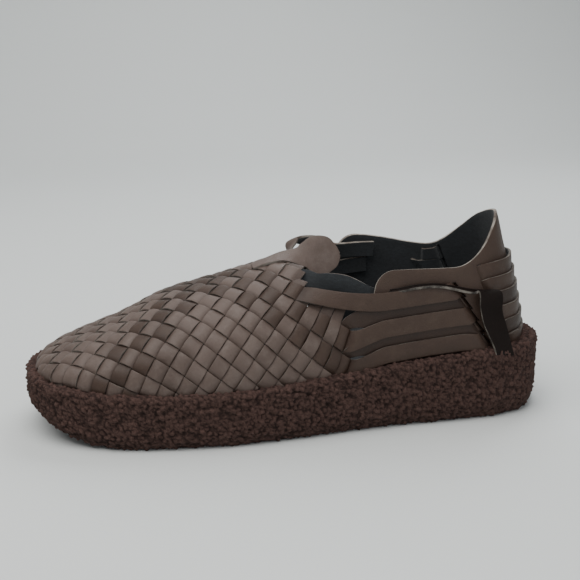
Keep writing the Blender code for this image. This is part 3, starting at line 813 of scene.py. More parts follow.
# Loose straps, row by row: where the row's middle lies on the last, how far it stands off, the strap's roll
# about its length in radians, and its width. A StrapRow is placed by the last's rows and the share of the way
# up to the crest, a WallRow by its place along X and its height above the sole.
TONGUE_RADIUS = 0.0118
COLLAR_PEAK = 0.0085
STRAP_WIDTH = 0.0096
UNDER = -0.0019
OVER_WEAVE = 0.0043
StrapRow = namedtuple("StrapRow", "section lift offset roll width", defaults=[STRAP_WIDTH])
WallRow = namedtuple("WallRow", "x height offset roll width", defaults=[STRAP_WIDTH])
COLLAR_LATERAL = [
    WallRow(-0.0040, 0.0480, -0.0016, -0.1),
    WallRow(0.0000, 0.0495, -0.0018, -0.3),
    WallRow(0.0047, 0.0512, -0.0018, -0.5),
    WallRow(0.0112, 0.0490, -0.0018, -0.6),
    WallRow(0.0179, 0.0485, -0.0016, -0.6),
    WallRow(0.0261, 0.0468, -0.0018, -0.5),
    WallRow(0.0339, 0.0425, -0.0020, -0.3),
    WallRow(0.0405, 0.0385, UNDER, -0.1),
    WallRow(0.0540, 0.0340, UNDER, 0.0),
    WallRow(0.0660, 0.0325, UNDER, 0.0),
]
THROAT_MEDIAL = [
    WallRow(0.0040, 0.0445, -0.0008, 0.0),
    WallRow(0.0160, 0.0425, -0.0008, 0.0),
    WallRow(0.0280, 0.0405, -0.0008, 0.0),
    WallRow(0.0400, 0.0405, -0.0011, 0.0),
    WallRow(0.0520, 0.0405, -0.0011, 0.0),
]
COLLAR_MEDIAL = [
    StrapRow(6.75, 0.840, UNDER, 0.0),
    StrapRow(7.05, 0.845, UNDER, 0.0),
    StrapRow(7.26, 0.845, UNDER, 0.0),
    StrapRow(7.42, 0.825, 0.45 * COLLAR_PEAK, 0.0),
    StrapRow(7.56, 0.780, COLLAR_PEAK, 0.2),
    StrapRow(7.92, 0.650, 0.55 * COLLAR_PEAK, 0.0),
    StrapRow(8.14, 0.535, UNDER / 2, 0.0),
    StrapRow(8.30, 0.475, 1.2 * UNDER, 0.0),
    StrapRow(8.62, 0.390, UNDER, 0.0),
    StrapRow(8.90, 0.340, UNDER, 0.0),
]
TONGUE = [
    StrapRow(6.60, 0.950, OVER_WEAVE - 0.0008, 0.0, 0.0096),
    StrapRow(6.90, 0.948, OVER_WEAVE - 0.0004, 0.0, 0.0096),
    StrapRow(7.20, 0.950, OVER_WEAVE - 0.0014, -0.25, 0.0100),
    StrapRow(7.44, 0.955, -0.07 * TONGUE_RADIUS, -0.7, 1.02 * TONGUE_RADIUS),
    StrapRow(7.55, 0.960, -0.19 * TONGUE_RADIUS, -0.9, 1.42 * TONGUE_RADIUS),
    StrapRow(7.64, 0.960, -0.31 * TONGUE_RADIUS, -1.0, 1.86 * TONGUE_RADIUS),
    StrapRow(7.73, 0.960, -0.50 * TONGUE_RADIUS, -1.1, 2.00 * TONGUE_RADIUS),
    StrapRow(7.81, 0.960, -0.68 * TONGUE_RADIUS, -1.1, 1.87 * TONGUE_RADIUS),
    StrapRow(7.87, 0.960, -0.88 * TONGUE_RADIUS, -1.1, 1.43 * TONGUE_RADIUS),
    StrapRow(7.91, 0.960, -1.01 * TONGUE_RADIUS, -1.1, 0.85 * TONGUE_RADIUS),
    StrapRow(7.93, 0.960, -1.07 * TONGUE_RADIUS, -1.1, 0.10 * TONGUE_RADIUS),
]


def loose_strap(rows, side, steps=8, tone=0.7):
    """Sheet of a loose strap through rows on the last, turned on edge by each row's roll."""
    if isinstance(rows[0], WallRow):
        feet = [WALLS[side].at(row.x, row.height) for row in rows]
    else:
        feet = [(last_point(r.section, side, r.lift), last_normal(r.section, side, r.lift)) for r in rows]
    ups = [up for _, up in feet]
    places = [point + up * row.offset for (point, up), row in zip(feet, rows)]
    samples = [(i, k / steps) for i in range(len(rows) - 1) for k in range(steps)] + [(len(rows) - 2, 1.0)]
    centres = [along_curve(places, i, t) for i, t in samples]
    sheet = []
    outward = None
    for n, (i, t) in enumerate(samples):
        tangent = (centres[min(n + 1, len(centres) - 1)] - centres[max(n - 1, 0)]).normalized()
        up = along_curve(ups, i, t)
        up = (up - tangent * up.dot(tangent)).normalized()
        up = Matrix.Rotation(along_curve([row.roll for row in rows], i, t) * side, 3, tangent) @ up
        outward = outward or up
        aside = tangent.cross(up)
        width = max(along_curve([row.width for row in rows], i, t), STRAP_NARROWEST)
        sheet.append([centres[n] + aside * width * share - up * STRAP_CROWN * (2 * share) ** 2
                      for share in ACROSS])
    return ribbon(sheet, outward, [[tone] * len(ACROSS)] * len(sheet))


# Surfaces

class Number:
    """Number that a node gives, with which sums are written as Python expressions."""

    def __init__(self, surface, socket):
        self.surface = surface
        self.socket = socket

    def math(self, operation, first, second):
        return self.surface.add("ShaderNodeMath", {"operation": operation}, {0: first, 1: second})

    def __add__(self, other):
        return self.math("ADD", self, other)

    def __mul__(self, other):
        return self.math("MULTIPLY", self, other)

    def __sub__(self, other):
        return self.math("SUBTRACT", self, other)

    def __rsub__(self, other):
        return self.math("SUBTRACT", other, self)

    def __pow__(self, other):
        return self.math("POWER", self, other)

    __radd__ = __add__
    __rmul__ = __mul__


class Surface:
    """Material of one finish, whose nodes come from one method."""

    def __init__(self, name):
        self.material = bpy.data.materials.new(name)
        self.material.use_nodes = True
        self.tree = self.material.node_tree
        self.shader = self.tree.nodes["Principled BSDF"]

    def add(self, kind, settings, values, output=0):
        """Adds a node, sets it, fills its sockets with values or links, and returns one of its outputs."""
        node = self.tree.nodes.new(kind)
        for key, value in settings.items():
            setattr(node, key, value)
        for key, value in values.items():
            self.fill(node.inputs[key], value)
        return Number(self, node.outputs[output])

    def fill(self, socket, value):
        """Gives a socket a value or a link."""
        if isinstance(value, Number):
            self.tree.links.new(value.socket, socket)
        else:
            socket.default_value = value

    def place(self):
        """Place on the piece, in metres."""
        return self.add("ShaderNodeTexCoord", {}, {}, "Object")

    def noise(self, scale, detail=3.0, roughness=0.55, place=None):
        """Cloudy number from 0 to 1, with scale in patches per metre."""
        values = {"Vector": place or self.place(), "Scale": scale, "Detail": detail, "Roughness": roughness}
        return self.add("ShaderNodeTexNoise", {}, values, 0)

    def cells(self, scale, place=None, feature="F1"):
        """Distance to the nearest of scattered points, with scale in points per metre."""
        values = {"Vector": place or self.place(), "Scale": scale}
        return self.add("ShaderNodeTexVoronoi", {"feature": feature}, values, 0)

    def stretched(self, x, y, z):
        """Place on the piece, stretched along the axes."""
        return self.add("ShaderNodeMapping", {}, {"Vector": self.place(), "Scale": (x, y, z)}, 0)

    def step(self, value, low, high):
        """Smooth step of a number from 0 at low to 1 at high."""
        values = {"Value": value, 1: low, 2: high, 3: 0.0, 4: 1.0}
        return self.add("ShaderNodeMapRange", {"interpolation_type": "SMOOTHSTEP"}, values, 0)

    def mix(self, factor, first, second):
        """Colour between two colours."""
        values = {0: factor, 6: colour(first), 7: colour(second)}
        return self.add("ShaderNodeMix", {"data_type": "RGBA"}, values, 2)

    def attribute(self, name):
        """Number stored on the piece's points."""
        return self.add("ShaderNodeAttribute", {"attribute_name": name}, {}, "Fac")

    def bump(self, height, distance, strength=1.0):
        """Normal from a height in steps of distance."""
        values = {"Height": height, "Distance": distance, "Strength": strength}
        return self.add("ShaderNodeBump", {}, values, 0)

    def finish(self, base, roughness, normal, **constants):
        """Links the shader's changing sockets and sets its constant ones."""
        self.fill(self.shader.inputs["Base Color"], base)
        self.fill(self.shader.inputs["Roughness"], roughness)
        self.fill(self.shader.inputs["Normal"], normal)
        for name, value in constants.items():
            self.shader.inputs[name.replace("_", " ")].default_value = value
        return self.material


def colour(value):
    """Colour with full alpha, or a link as it is."""
    return value if isinstance(value, Number) else (*value, 1.0)


def grain_leather(name, light, dark, worn, gloss):
    """Smooth oiled leather: fine grain, soft patches, paler on its crowns, and darker where a strip dives or a
    strap lies low, as painted shade.
    """
    surface = Surface(name)
    tone = surface.attribute("tone")
    patches = surface.noise(38.0, 4.0)
    fine = surface.noise(420.0, 4.0, 0.6)
    grain = surface.cells(1500.0)
    pores = surface.noise(3200.0, 2.0)
    # The tone attribute brings painted shade where strips dive and where straps lie low or inside the leaf
    level = surface.step(patches * 0.75 + tone * 0.55 + fine * 0.25, 0.45, 1.15)
    base = surface.mix(level, dark, light)
    rub = surface.step(surface.noise(130.0, 5.0, 0.7) + tone * 0.35, 0.72, 1.05)
    base = surface.mix(rub * 0.55, base, worn)
    freckles = surface.step(surface.noise(900.0, 3.0), 0.58, 0.72)
    base = surface.mix(freckles * 0.25, base, dark)
    roughness = 0.40 + fine * 0.22 + patches * 0.10
    height = grain * 0.45 + pores * 0.25 + surface.noise(210.0, 4.0) * 0.9
    return surface.finish(base, roughness, surface.bump(height, 0.00022, 0.75), Specular_IOR_Level=gloss)


def flesh_leather(name, light, dark):
    """Suede flesh side: short matted fibres in a dull blue-grey."""
    surface = Surface(name)
    nap = surface.noise(520.0, 5.0, 0.7, surface.stretched(0.7, 0.7, 1.5))
    patches = surface.noise(60.0, 4.0, 0.6)
    fibres = surface.noise(2400.0, 3.0, 0.65)
    level = surface.step(nap * 0.6 + patches * 0.5 + fibres * 0.25, 0.45, 0.95)
    base = surface.mix(level, dark, light)
    height = nap * 0.7 + fibres * 0.5
    return surface.finish(base, 0.86 + patches * 0.1, surface.bump(height, 0.00035, 0.8), Sheen_Weight=0.25)


def cut_edge(name, light, dark):
    """Raw cut edge of the leather, pale fibres stained brown in places."""
    surface = Surface(name)
    stain = surface.step(surface.noise(95.0, 4.0, 0.65), 0.38, 0.66)
    fibres = surface.noise(1800.0, 3.0, 0.6, surface.stretched(1.0, 1.0, 0.35))
    base = surface.mix(stain * 0.8 + fibres * 0.2, light, dark)
    return surface.finish(base, 0.78 + fibres * 0.12, surface.bump(fibres, 0.0002, 0.7))


def crumb(name, light, dark, pit_shade):
    """Crumbed foam rubber: matted curls over pits darkened with painted shade."""
    surface = Surface(name)
    relief = surface.attribute("tone")
    curls = surface.noise(1150.0, 5.0, 0.75)
    specks = surface.cells(1300.0)
    level = surface.step(curls * 0.8 + surface.noise(160.0, 3.0) * 0.25, 0.36, 0.80)
    base = surface.mix(level, dark, light)
    # Painted shade in the pits, where the crumbs' height is low
    painted_pit_shade = surface.step(relief + curls * 0.2, 0.30, 0.80)
    base = surface.mix((1 - painted_pit_shade) * 0.9, base, pit_shade)
    height = curls * 1.1 - specks * 0.55
    return surface.finish(base, 0.93 + curls * 0.05, surface.bump(height, 0.0009, 1.0),
                          Specular_IOR_Level=0.2)


# Sizes and colours that a user would change

def length_property(name, description, default, low, high):
    """Length in metres that a user may change between two ends."""
    return FloatProperty(name=name, description=description, default=default, min=low, max=high,
                         subtype="DISTANCE", unit="LENGTH")


def colour_property(name, description, default):
    """Colour that a user may change."""
    return FloatVectorProperty(name=name, description=description, default=default, subtype="COLOR", size=3,
                               min=0.0, max=1.0)


class SandalSizes(bpy.types.PropertyGroup):
    """Sizes of the leather and of the sole's crumb."""

    strip_width: length_property("Strip width", "Width of a woven strip", 0.00880, 0.006, 0.0096)
    strap_width: length_property("Strap width", "Width of a side strap", 0.0094, 0.006, 0.012)
    leather: length_property("Leather", "Thickness of the woven leather", 0.0013, 0.0008, 0.0025)
    crumb_relief: length_property("Crumb relief", "Height of the crumbs on the sole", 0.0025, 0.0, 0.003)
    sole_stations: IntProperty(name="Sole stations", description="Points round the sole's edge", default=900,
                               min=200, max=1200)


class SandalColours(bpy.types.PropertyGroup):
    """Colours of the leather and of the sole."""

    grain: colour_property("Grain", "Leather's outer side", (0.098, 0.070, 0.058))
    # Shade is the dark end of the grain's colours: for darker patches at random, and for painted shade where
    # strips dive and straps lie low or inside the leaf
    shade: colour_property("Shade", "Leather where it is darker", (0.046, 0.029, 0.022))
    worn: colour_property("Worn", "Leather where it is rubbed", (0.135, 0.105, 0.091))
    flesh: colour_property("Flesh", "Leather's inner side", (0.021, 0.025, 0.029))
    edge: colour_property("Edge", "Leather's cut edge", (0.260, 0.232, 0.200))
    crumb: colour_property("Crumb", "Sole", (0.125, 0.072, 0.060))
    floor: colour_property("Floor", "Floor and wall", (0.62, 0.64, 0.63))


# Painted shade: how much darker and warmer each cut of leather is coloured than the strips of the vamp, for
# straps and leaf that lie darker under the lamps; the pull straps' colour is partly painted shade, partly their
# own darker leather
CUT_DARKNESS_AND_PAINTED_SHADE = {
    "strip": (1.0, 1.0, 1.0),
    "strap": (0.47, 0.38, 0.31),
    "leaf": (0.58, 0.49, 0.41),
    "pull": (0.08, 0.055, 0.045),
}

# How dark each cut's raw edge is, and how much its grain side shines
EDGE_DEPTHS = {"strip": 0.8, "strap": 0.5, "leaf": 1.0, "pull": 0.8}
GLOSS = 0.32
PULL_GLOSS = 0.12


def deeper(tint, depth):
    """Colour times a number."""
    return tuple(value * depth for value in tint)


def leathers(context, name="strip"):
    """Grain, flesh and cut-edge leathers, made once."""
    tints = context.scene.sandal_colours
    made = {}
    for part in ("grain", "flesh", "edge"):
        made[part] = bpy.data.materials.get(f"{name}_{part}")
    if made["grain"] is None:
        # Darker copies of the leather for the straps, leaf and pull straps, as painted shade
        shade, grain, worn = [tuple(value * depth for value, depth in zip(tint, CUT_DARKNESS_AND_PAINTED_SHADE[name]))
                              for tint in (tints.shade, tints.grain, tints.worn)]
        gloss = PULL_GLOSS if name == "pull" else GLOSS
        made["grain"] = grain_leather(f"{name}_grain", grain, shade, worn, gloss)
        made["flesh"] = flesh_leather(f"{name}_flesh", deeper(tints.flesh, 1.0), deeper(tints.flesh, 0.35))
        made["edge"] = cut_edge(f"{name}_edge", deeper(tints.edge, EDGE_DEPTHS[name]), deeper(shade, 1.3))
    return [made["grain"], made["flesh"], made["edge"]]


class SANDAL_OT_sole(bpy.types.Operator):
    """Makes the thick sole with its crumbs"""

    bl_idname = "sandal.sole"
    bl_label = "Crumb sole"

    def execute(self, context):
        sizes = context.scene.sandal_sizes
        count = sizes.sole_stations
        edge = [(outline(u, side), outline_out(u, side)) for u, side in even_stations(count)]
        rings = [self.ring(edge, inward, rise) for inward, rise in self.profile()]
        rows, tones = [], []
        for k in range(count + 1):
            lumps = [self.crumbs(*ring[k % count], sizes.crumb_relief) for ring in rings]
            rows.append([place for place, _ in lumps])
            tones.append([tone for _, tone in lumps])
        item = grid_sheet(rows, tones)
        item.name = "crumb_sole"
        select_only(item)
        bpy.ops.object.mode_set(mode="EDIT")
        bpy.ops.mesh.select_all(action="SELECT")
        bpy.ops.mesh.remove_doubles(threshold=0.00001)
        bpy.ops.mesh.select_all(action="DESELECT")
        bpy.ops.mesh.select_non_manifold()
        bpy.ops.mesh.fill()
        bpy.ops.mesh.select_all(action="SELECT")
        bpy.ops.mesh.normals_make_consistent(inside=False)
        bpy.ops.object.mode_set(mode="OBJECT")
        bpy.ops.object.shade_smooth()
        light = tuple(context.scene.sandal_colours.crumb)
        # The last colour is painted shade in the pits between the crumbs
        item.data.materials.append(crumb("sole_crumb", light, deeper(light, 0.5), deeper(light, 0.16)))
        settle(item, ["outsole"])
        return {"FINISHED"}

    def profile(self):
        """Distance inward from the outline and share of the thickness, round the edge from top to bottom."""
        top = [(LEDGE + 0.006 - 0.0008 * i, 1.0) for i in range(14)]
        rim = [(RIM_ROUND * (1 - sin(t)), 1 - 0.075 * (1 - cos(t))) for t in spread(0.0, pi / 2, 6)]
        side = [(SIDE_TUCK * self.tuck(share), share) for share in spread(0.905, 0.02, 44)]
        under = [(SIDE_TUCK + 0.0012 * i, 0.0) for i in range(1, 12)]
        return top + rim + side + under

    @staticmethod
    def tuck(share):
        """How far the side is tucked in at a share of the height, as a share of SIDE_TUCK."""
        return max(1 - share / 0.30, 0.0) ** 2

    @staticmethod
    def ring(edge, inward, share):
        """Points and outward directions at one place of the profile."""
        ring = []
        for point, out in edge:
            plan = point - out * inward
            low, high = sole_bottom(point.x), sole_top(plan.x)
            place = Vector((plan.x, plan.y, between(low, high, share)))
            if share >= 1.0:
                normal = Vector((0, 0, 1))
            elif share <= 0.0:
                normal = Vector((0, 0, -1))
            else:
                level = Vector((out.x, out.y, 0))
                tilt = blend(share, 0.88, 1.0) - blend(1 - share, 0.90, 1.0)
                normal = (level + Vector((0, 0, tilt))).normalized()
            ring.append((place, normal))
        return ring

    @staticmethod
    def crumbs(point, out, relief):
        """Point pushed out by the crumbs, and how high it stands from 0 to 1."""
        near = noise.voronoi(point * 380.0)[0]
        curl = noise.fractal(point * 430.0, 0.5, 2.1, 3)
        lump = noise.noise(point * 130.0)
        tone = 0.35 + 0.75 * (near[1] - near[0]) + 0.30 * curl
        height = relief * (tone - 0.55) + 0.0007 * lump
        place = point + out * height
        place.z = max(place.z, 0.0)
        return place, min(max(tone, 0.0), 1.0)


def even_stations(count):
    """Row positions and sides that divide the sole's outline evenly, round from the toe."""
    fine = [(i / 40, LATERAL) for i in range(HEEL_ROW * 40)]
    fine += [(i / 40, MEDIAL) for i in range(HEEL_ROW * 40, 0, -1)]
    points = [outline(u, side) for u, side in fine]
    lengths = [0.0]
    for here, there in zip(points, points[1:] + points[:1]):
        lengths.append(lengths[-1] + (there - here).length)
    stations = []
    k = 0
    for n in range(count):
        reach = lengths[-1] * n / count
        while lengths[k + 1] <= reach:
            k += 1
        t = (reach - lengths[k]) / (lengths[k + 1] - lengths[k])
        u, side = fine[k]
        after = fine[(k + 1) % len(fine)][0] if k + 1 < len(fine) else 0.0
        stations.append((between(u, after, t), side))
    return stations


class SANDAL_OT_insole(bpy.types.Operator):
    """Gives the sock inside the shoe its leather"""

    bl_idname = "sandal.insole"
    bl_label = "Insole"

    def execute(self, context):
        grey = tuple(context.scene.sandal_colours.flesh)
        surface = flesh_leather("sock", deeper(grey, 0.9), deeper(grey, 0.4))
        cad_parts["insole"].material_slots[0].material = surface
        return {"FINISHED"}


class SANDAL_OT_weave(bpy.types.Operator):
    """Weaves the vamp and leads its strips out as side straps round the heel"""

    bl_idname = "sandal.weave"
    bl_label = "Woven vamp and straps"

    def execute(self, context):
        sizes = context.scene.sandal_sizes
        net = Net()
        halves = {}
        for direction, name in (("b", "strips_outward"), ("a", "strips_inward")):
            items = []
            for strip in range(-20, 12):
                for first, last in runs_of(net, strip, direction):
                    seed = strip * 1.37 + first * 0.21 + (5.0 if direction == "a" else 0.0)
                    key = self.strap_of(strip, direction, last)
                    rows, tones = woven_rows(net, strip, direction, first, last, seed, sizes, key is not None)
                    if key:
                        side, index = key
                        if SIDE_STRAPS[index - 1].rises:
                            rows = [row[::-1] for row in rows]
                        more, more_tones = lead_rows(net, side, index, last, direction, sizes, index * 2.3)
                        halves[key] = rows + more, tones + more_tones
                    elif len(rows) > 2:
                        middle = len(rows) // 2
                        items.append(ribbon(rows, outward_at(rows[middle][2]), tones, middle))
            piece = join(items, name)
            thicken(piece, sizes.leather, leathers(context, "strip"))
            settle(piece, ["upper"])
        straps = []
        for index in range(WRAP_COUNT):
            rows, tones = wrap_rows(index, HANDOVER_X if index else TOP_WRAP_FROM, sizes, index * 2.3)
            if index:
                outer, outer_tones = halves[LATERAL, index]
                inner, inner_tones = halves[MEDIAL, index]
                rows = outer + rows[1:-1] + inner[::-1]
                tones = outer_tones + tones[1:-1] + inner_tones[::-1]
            rear = max(range(len(rows)), key=lambda k: rows[k][2].x)
            straps.append(ribbon(rows, Vector((1, 0, 0)), tones, rear))
        straps.append(loose_strap(THROAT_MEDIAL, MEDIAL, tone=0.4))
        piece = join(straps, "side_straps")
        thicken(piece, sizes.leather, leathers(context, "strap"))
        settle(piece, ["upper"])
        return {"FINISHED"}

    @staticmethod
    def strap_of(strip, direction, last):
        """Side and number of the strap that a strip carries on as, or nothing."""
        for index, strap in enumerate(SIDE_STRAPS, 1):
            if strap.strip == strip and last >= (-5 if strap.rises else 3):
                outer = (direction == "b") != strap.rises
                return (LATERAL if outer else MEDIAL), index
        return None


def outward_at(point):
    """Rough outward direction of the upper at a point."""
    return Vector((-0.05 if point.x < -0.1 else 0.0, point.y, 0.045))


def leaf_front(side):
    """Place along the sole at which the heel leaf starts on one side."""
    return LEAF_FRONT_MEDIAL if side == MEDIAL else LEAF_FRONT_LATERAL


def leaf_top(x, side):
    """Height of the heel leaf's top edge above the sole."""
    along = share_of_length(x)
    back = blend(along, HEEL_WRAP_FROM, LEAF_PEAK_ALONG)
    front = (leaf_front(side) - 0.5) * SOLE_LENGTH
    into_corner = min(max(1 - (x - front) / LEAF_CORNER, 0.0), 1.0)
    drop = LEAF_CORNER * (1 - sqrt(1 - into_corner ** 2))
    wing = LEAF_WING_MEDIAL if side == MEDIAL else LEAF_WING_LATERAL
    wing *= 1 - blend(along, leaf_front(side), WING_ENDS_ALONG)
    return LEAF_TOP_SIDE + wing + (LEAF_TOP_HEEL - LEAF_TOP_SIDE) * back - drop


class SANDAL_OT_leaf(bpy.types.Operator):
    """Makes the heel leaf with the slots that the side straps pass through"""

    bl_idname = "sandal.leaf"
    bl_label = "Heel leaf"

    def execute(self, context):
        rows = []
        for u, side in self.stations():
            foot = WALLS[side].at_row(u, 0.0)[0]
            top = leaf_top(foot.x, side)
            row = []
            for share in spread(0.0, 1.0, 22):
                point, normal = WALLS[side].at_row(u, between(-0.001, top, share))
                flare = 0.0006 * blend(share, 0.75, 1.0) + 0.0004 * wobble(point, 40.0, 3.0)
                row.append(point + normal * (LEAF_MIDDLE + flare))
            rows.append(row)
        tones = [[0.55] * 23] * len(rows)
        outward = WALLS[LATERAL].at_row(self.stations()[0][0], 0.02)[1]
        item = ribbon(rows, outward, tones)
        item.name = "heel_leaf"
        thicken(item, LEAF_THICKNESS, leathers(context, "leaf"), 0.00035)
        self.cut_slots(item)
        settle(item, ["counter"])
        return {"FINISHED"}

    @staticmethod
    def stations():
        """Row positions and sides from the leaf's outer front edge to its inner one."""
        stations = []
        for side in (LATERAL, MEDIAL):
            front = row_at((leaf_front(side) - 0.5) * SOLE_LENGTH)
            corner = row_at((leaf_front(side) - 0.5) * SOLE_LENGTH + LEAF_CORNER)
            rows = [front + (corner - front) * t ** 2 for t in spread(0.0, 1.0, 12)]
            rows += spread(corner, HEEL_ROW - 0.02, 90)[1:]
            stations.append([(u, side) for u in rows])
        return stations[0] + stations[1][::-1]

    def cut_slots(self, item):
        """Cuts the slots through the leaf."""
        cutters = []
        for side in (LATERAL, MEDIAL):
            shift = -INNER_SLOTS_FORWARD if side == MEDIAL else 0.0
            reach = (-SLOT_BELOW, SLOT_ABOVE)
            for index in range(1, WRAP_COUNT):
                centre = strap_height(index, HEEL_WRAP_FROM)
                ends = [(shift + front_slot(index - 1, rise), centre + rise) for rise in reach]
                cutters.append(self.cutter(side, *ends))
            for index in range(WRAP_COUNT):
                centre = strap_height(index, REAR_SLOTS_ALONG)
                ends = [(shift + rear_slot(centre + rise) + REAR_SLOT_BACK, centre + rise) for rise in reach]
                cutters.append(self.cutter(side, *ends))
        cutter = join(cutters, "slot_cutter")
        apply_modifier(item, "Slots", "BOOLEAN", operation="DIFFERENCE", object=cutter, solver="EXACT",
                       use_self=True)
        bpy.data.objects.remove(cutter, do_unlink=True)

    @staticmethod
    def cutter(side, low, high):
        """Block of one slot, from a low place to a high place, each along X and in height."""
        select_none()
        bpy.ops.mesh.primitive_cube_add(size=1)
        block = bpy.context.active_object
        for vertex in block.data.vertices:
            x, height = low if vertex.co.z < 0 else high
            x += SLOT_HALF if vertex.co.x > 0 else -SLOT_HALF
            point, normal = WALLS[side].at(x, max(height, 0.0005))
            vertex.co = point + normal * (0.0045 if vertex.co.y * side > 0 else -0.0025)
        return block


class SANDAL_OT_collar(bpy.types.Operator):
    """Makes the two loose straps from the throat to the leaf"""

    bl_idname = "sandal.collar"
    bl_label = "Collar straps"

    def execute(self, context):
        grain, flesh, edge = leathers(context)
        for rows, side, name, node, faces in (
                (COLLAR_LATERAL, LATERAL, "collar_strap_outer", "collar_strap_lateral", [flesh, grain, edge]),
                (COLLAR_MEDIAL, MEDIAL, "collar_strap_inner", "collar_strap_medial", [grain, flesh, edge])):
            item = loose_strap(rows, side)
            item.name = name
            thicken(item, COLLAR_THICKNESS, faces)
            settle(item, [node])
        return {"FINISHED"}


class SANDAL_OT_tongue(bpy.types.Operator):
    """Makes the round tab on the throat"""

    bl_idname = "sandal.tongue"
    bl_label = "Tongue tab"

    def execute(self, context):
        item = loose_strap(TONGUE, LATERAL, 10, 0.9)
        item.name = "tongue_tab"
        thicken(item, TONGUE_THICKNESS, leathers(context))
        settle(item, ["tongue"])
        return {"FINISHED"}


# Edges of the pull strap: x, height above the sole and offset of its front edge, then of its rear edge
PullRow = namedtuple("PullRow", "x height offset rear_x rear_height rear_offset")
PULL_STRAP = [
    PullRow(0.1106, -0.0035, 0.0080, 0.1200, -0.0060, 0.0080),
    PullRow(0.1095, 0.0010, 0.0078, 0.1190, -0.0015, 0.0074),
    PullRow(0.1040, 0.0145, 0.0066, 0.1150, 0.0110, 0.0078),
    PullRow(0.1016, 0.0235, 0.0070, 0.1117, 0.0210, 0.0086),
    PullRow(0.1012, 0.0268, 0.0072, 0.1115, 0.0275, 0.0090),
    PullRow(0.1015, 0.0295, 0.0066, 0.1112, 0.0310, 0.0078),
    PullRow(0.1010, 0.0326, 0.0058, 0.1085, 0.0322, 0.0046),
    PullRow(0.0980, 0.0325, 0.0058, 0.1020, 0.0335, 0.0036),
    PullRow(0.0930, 0.0338, 0.0062, 0.0945, 0.0352, 0.0034),
    PullRow(0.0876, 0.0358, 0.0062, 0.0876, 0.0372, 0.0030),
    PullRow(0.0800, 0.0382, 0.0062, 0.0800, 0.0394, 0.0028),
    PullRow(0.0725, 0.0394, 0.0060, 0.0725, 0.0406, 0.0028),
    PullRow(0.0640, 0.0396, 0.0058, 0.0640, 0.0410, 0.0026),
    PullRow(0.0560, 0.0390, 0.0050, 0.0560, 0.0406, 0.0018),
    PullRow(0.0500, 0.0384, 0.0020, 0.0500, 0.0404, -0.0002),
]


class SANDAL_OT_pull_straps(bpy.types.Operator):
    """Makes the upright straps at the heel, folded over and led forward on the top strap's edge"""

    bl_idname = "sandal.pull_straps"
    bl_label = "Pull straps"

    def execute(self, context):
        for side, name in ((LATERAL, "lateral"), (MEDIAL, "medial")):
            edges = []
            for row in PULL_STRAP:
                front, front_normal = WALLS[side].at(row.x, row.height)
                rear, rear_normal = WALLS[side].at(row.rear_x, row.rear_height)
                edges.append((front + front_normal * row.offset, rear + rear_normal * row.rear_offset,
                              rear_normal))
            rows = []
            for i in range(len(edges) - 1):
                for t in spread(0.0, 1.0, 6)[:-1]:
                    rows.append(self.across(*[along_curve(values, i, t) for values in zip(*edges)]))
            rows.append(self.across(*edges[-1]))
            outward = WALLS[side].at(PULL_STRAP[1].x, 0.004)[1]
            item = ribbon(rows, outward, [[0.6] * len(ACROSS)] * len(rows))
            item.name = "pull_strap_" + name + "_dressed"
            thicken(item, PULL_THICKNESS, leathers(context, "pull"))
            settle(item, ["pull_strap_" + name])
        return {"FINISHED"}

    @staticmethod
    def across(front, rear, outward):
        """Points across the strap, whose rear edge curls outward."""
        return [front.lerp(rear, share + 0.5) + outward * PULL_CURL * blend(share, 0.1, 0.5)
                for share in ACROSS]


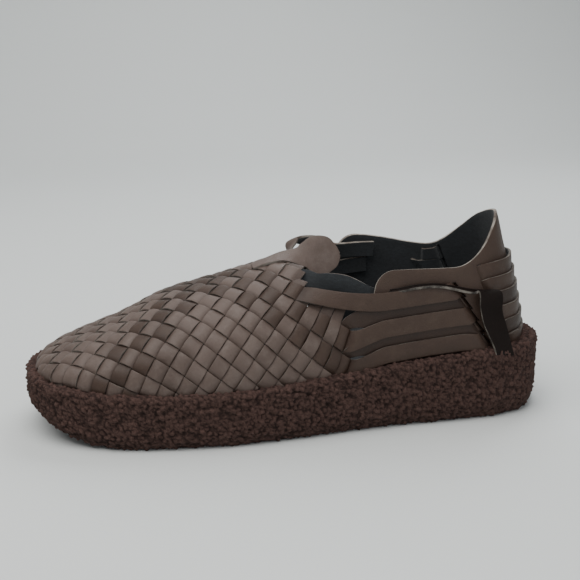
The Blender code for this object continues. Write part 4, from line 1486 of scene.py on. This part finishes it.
class SANDAL_OT_stage(bpy.types.Operator):
    """Adds the floor, the lights and the camera"""

    bl_idname = "sandal.stage"
    bl_label = "Stage"

    def execute(self, context):
        pale = tuple(context.scene.sandal_colours.floor)
        surface = Surface("stage_paint")
        soft = surface.noise(6.0, 3.0)
        base = surface.mix(soft * 0.5, pale, deeper(pale, 0.97))
        surface.finish(base, 0.75 + soft * 0.1, surface.bump(surface.noise(180.0), 0.0002, 0.2))
        select_none()
        bpy.ops.mesh.primitive_grid_add(x_subdivisions=2, y_subdivisions=48, size=1)
        floor = bpy.context.active_object
        floor.name = "stage_sweep"
        bend, back = 0.35, 0.95
        for vertex in floor.data.vertices:
            run = (vertex.co.y + 0.5) * 4.2 - 1.6
            x = vertex.co.x * 6.0
            if run < back:
                vertex.co = (x, run, 0.0)
            elif run < back + bend * pi / 2:
                angle = (run - back) / bend
                vertex.co = (x, back + bend * sin(angle), bend * (1 - cos(angle)))
            else:
                vertex.co = (x, back + bend, bend + run - back - bend * pi / 2)
        floor.data.materials.append(surface.material)
        select_only(floor)
        bpy.ops.object.shade_smooth()
        self.light("key", (-0.35, -0.25, 1.15), (0.0, 0.05, 0.05), 1.1, 17.0, (1.0, 0.985, 0.96))
        self.light("back", (0.35, 0.75, 0.95), (0.0, 0.0, 0.06), 0.9, 9.0, (0.96, 0.98, 1.0))
        self.light("fill", (0.55, -1.05, 0.45), (0.0, 0.0, 0.05), 0.9, 3.2, (0.98, 0.99, 1.0))
        world = context.scene.world or bpy.data.worlds.new("soft_room")
        context.scene.world = world
        world.use_nodes = True
        background = world.node_tree.nodes["Background"]
        background.inputs["Color"].default_value = (0.84, 0.87, 0.90, 1)
        background.inputs["Strength"].default_value = 0.45
        select_none()
        turn = CAMERA_AIM.to_track_quat("-Z", "Y").to_euler()
        bpy.ops.object.camera_add(location=CAMERA_PLACE, rotation=turn)
        camera = bpy.context.active_object
        camera.data.lens = CAMERA_LENS
        camera.data.sensor_width = 36.0
        camera.data.clip_start = 0.01
        context.scene.camera = camera
        return {"FINISHED"}

    @staticmethod
    def light(name, place, target, size, power, tint):
        """Square lamp at a place, turned to its target."""
        select_none()
        turn = (Vector(target) - Vector(place)).to_track_quat("-Z", "Y").to_euler()
        bpy.ops.object.light_add(type="AREA", location=place, rotation=turn)
        lamp = bpy.context.active_object
        lamp.name = name
        lamp.data.size = size
        lamp.data.energy = power
        lamp.data.color = tint


class SANDAL_PT_panel(bpy.types.Panel):
    """Lists the pieces and their sizes"""

    bl_idname = "SANDAL_PT_panel"
    bl_label = "Woven sandal"
    bl_space_type = "VIEW_3D"
    bl_region_type = "UI"
    bl_category = "Sandal"

    def draw(self, context):
        for operator in OPERATORS:
            self.layout.operator(operator.bl_idname)
        for group in (context.scene.sandal_sizes, context.scene.sandal_colours):
            for name in group.__annotations__:
                self.layout.prop(group, name)


OPERATORS = (SANDAL_OT_stage, SANDAL_OT_sole, SANDAL_OT_insole, SANDAL_OT_weave, SANDAL_OT_leaf,
             SANDAL_OT_collar, SANDAL_OT_tongue, SANDAL_OT_pull_straps)
CLASSES = (SandalSizes, SandalColours) + OPERATORS + (SANDAL_PT_panel,)


def register():
    """Adds the classes and their settings."""
    for kind in CLASSES:
        bpy.utils.register_class(kind)
    bpy.types.Scene.sandal_sizes = PointerProperty(type=SandalSizes)
    bpy.types.Scene.sandal_colours = PointerProperty(type=SandalColours)


def unregister():
    """Takes the classes and their settings away."""
    del bpy.types.Scene.sandal_colours
    del bpy.types.Scene.sandal_sizes
    for kind in reversed(CLASSES):
        bpy.utils.unregister_class(kind)


def main():
    """Makes every piece."""
    register()
    bpy.ops.sandal.stage()
    bpy.ops.sandal.sole()
    bpy.ops.sandal.insole()
    bpy.ops.sandal.weave()
    bpy.ops.sandal.leaf()
    bpy.ops.sandal.collar()
    bpy.ops.sandal.tongue()
    bpy.ops.sandal.pull_straps()


if __name__ == "__main__":
    main()
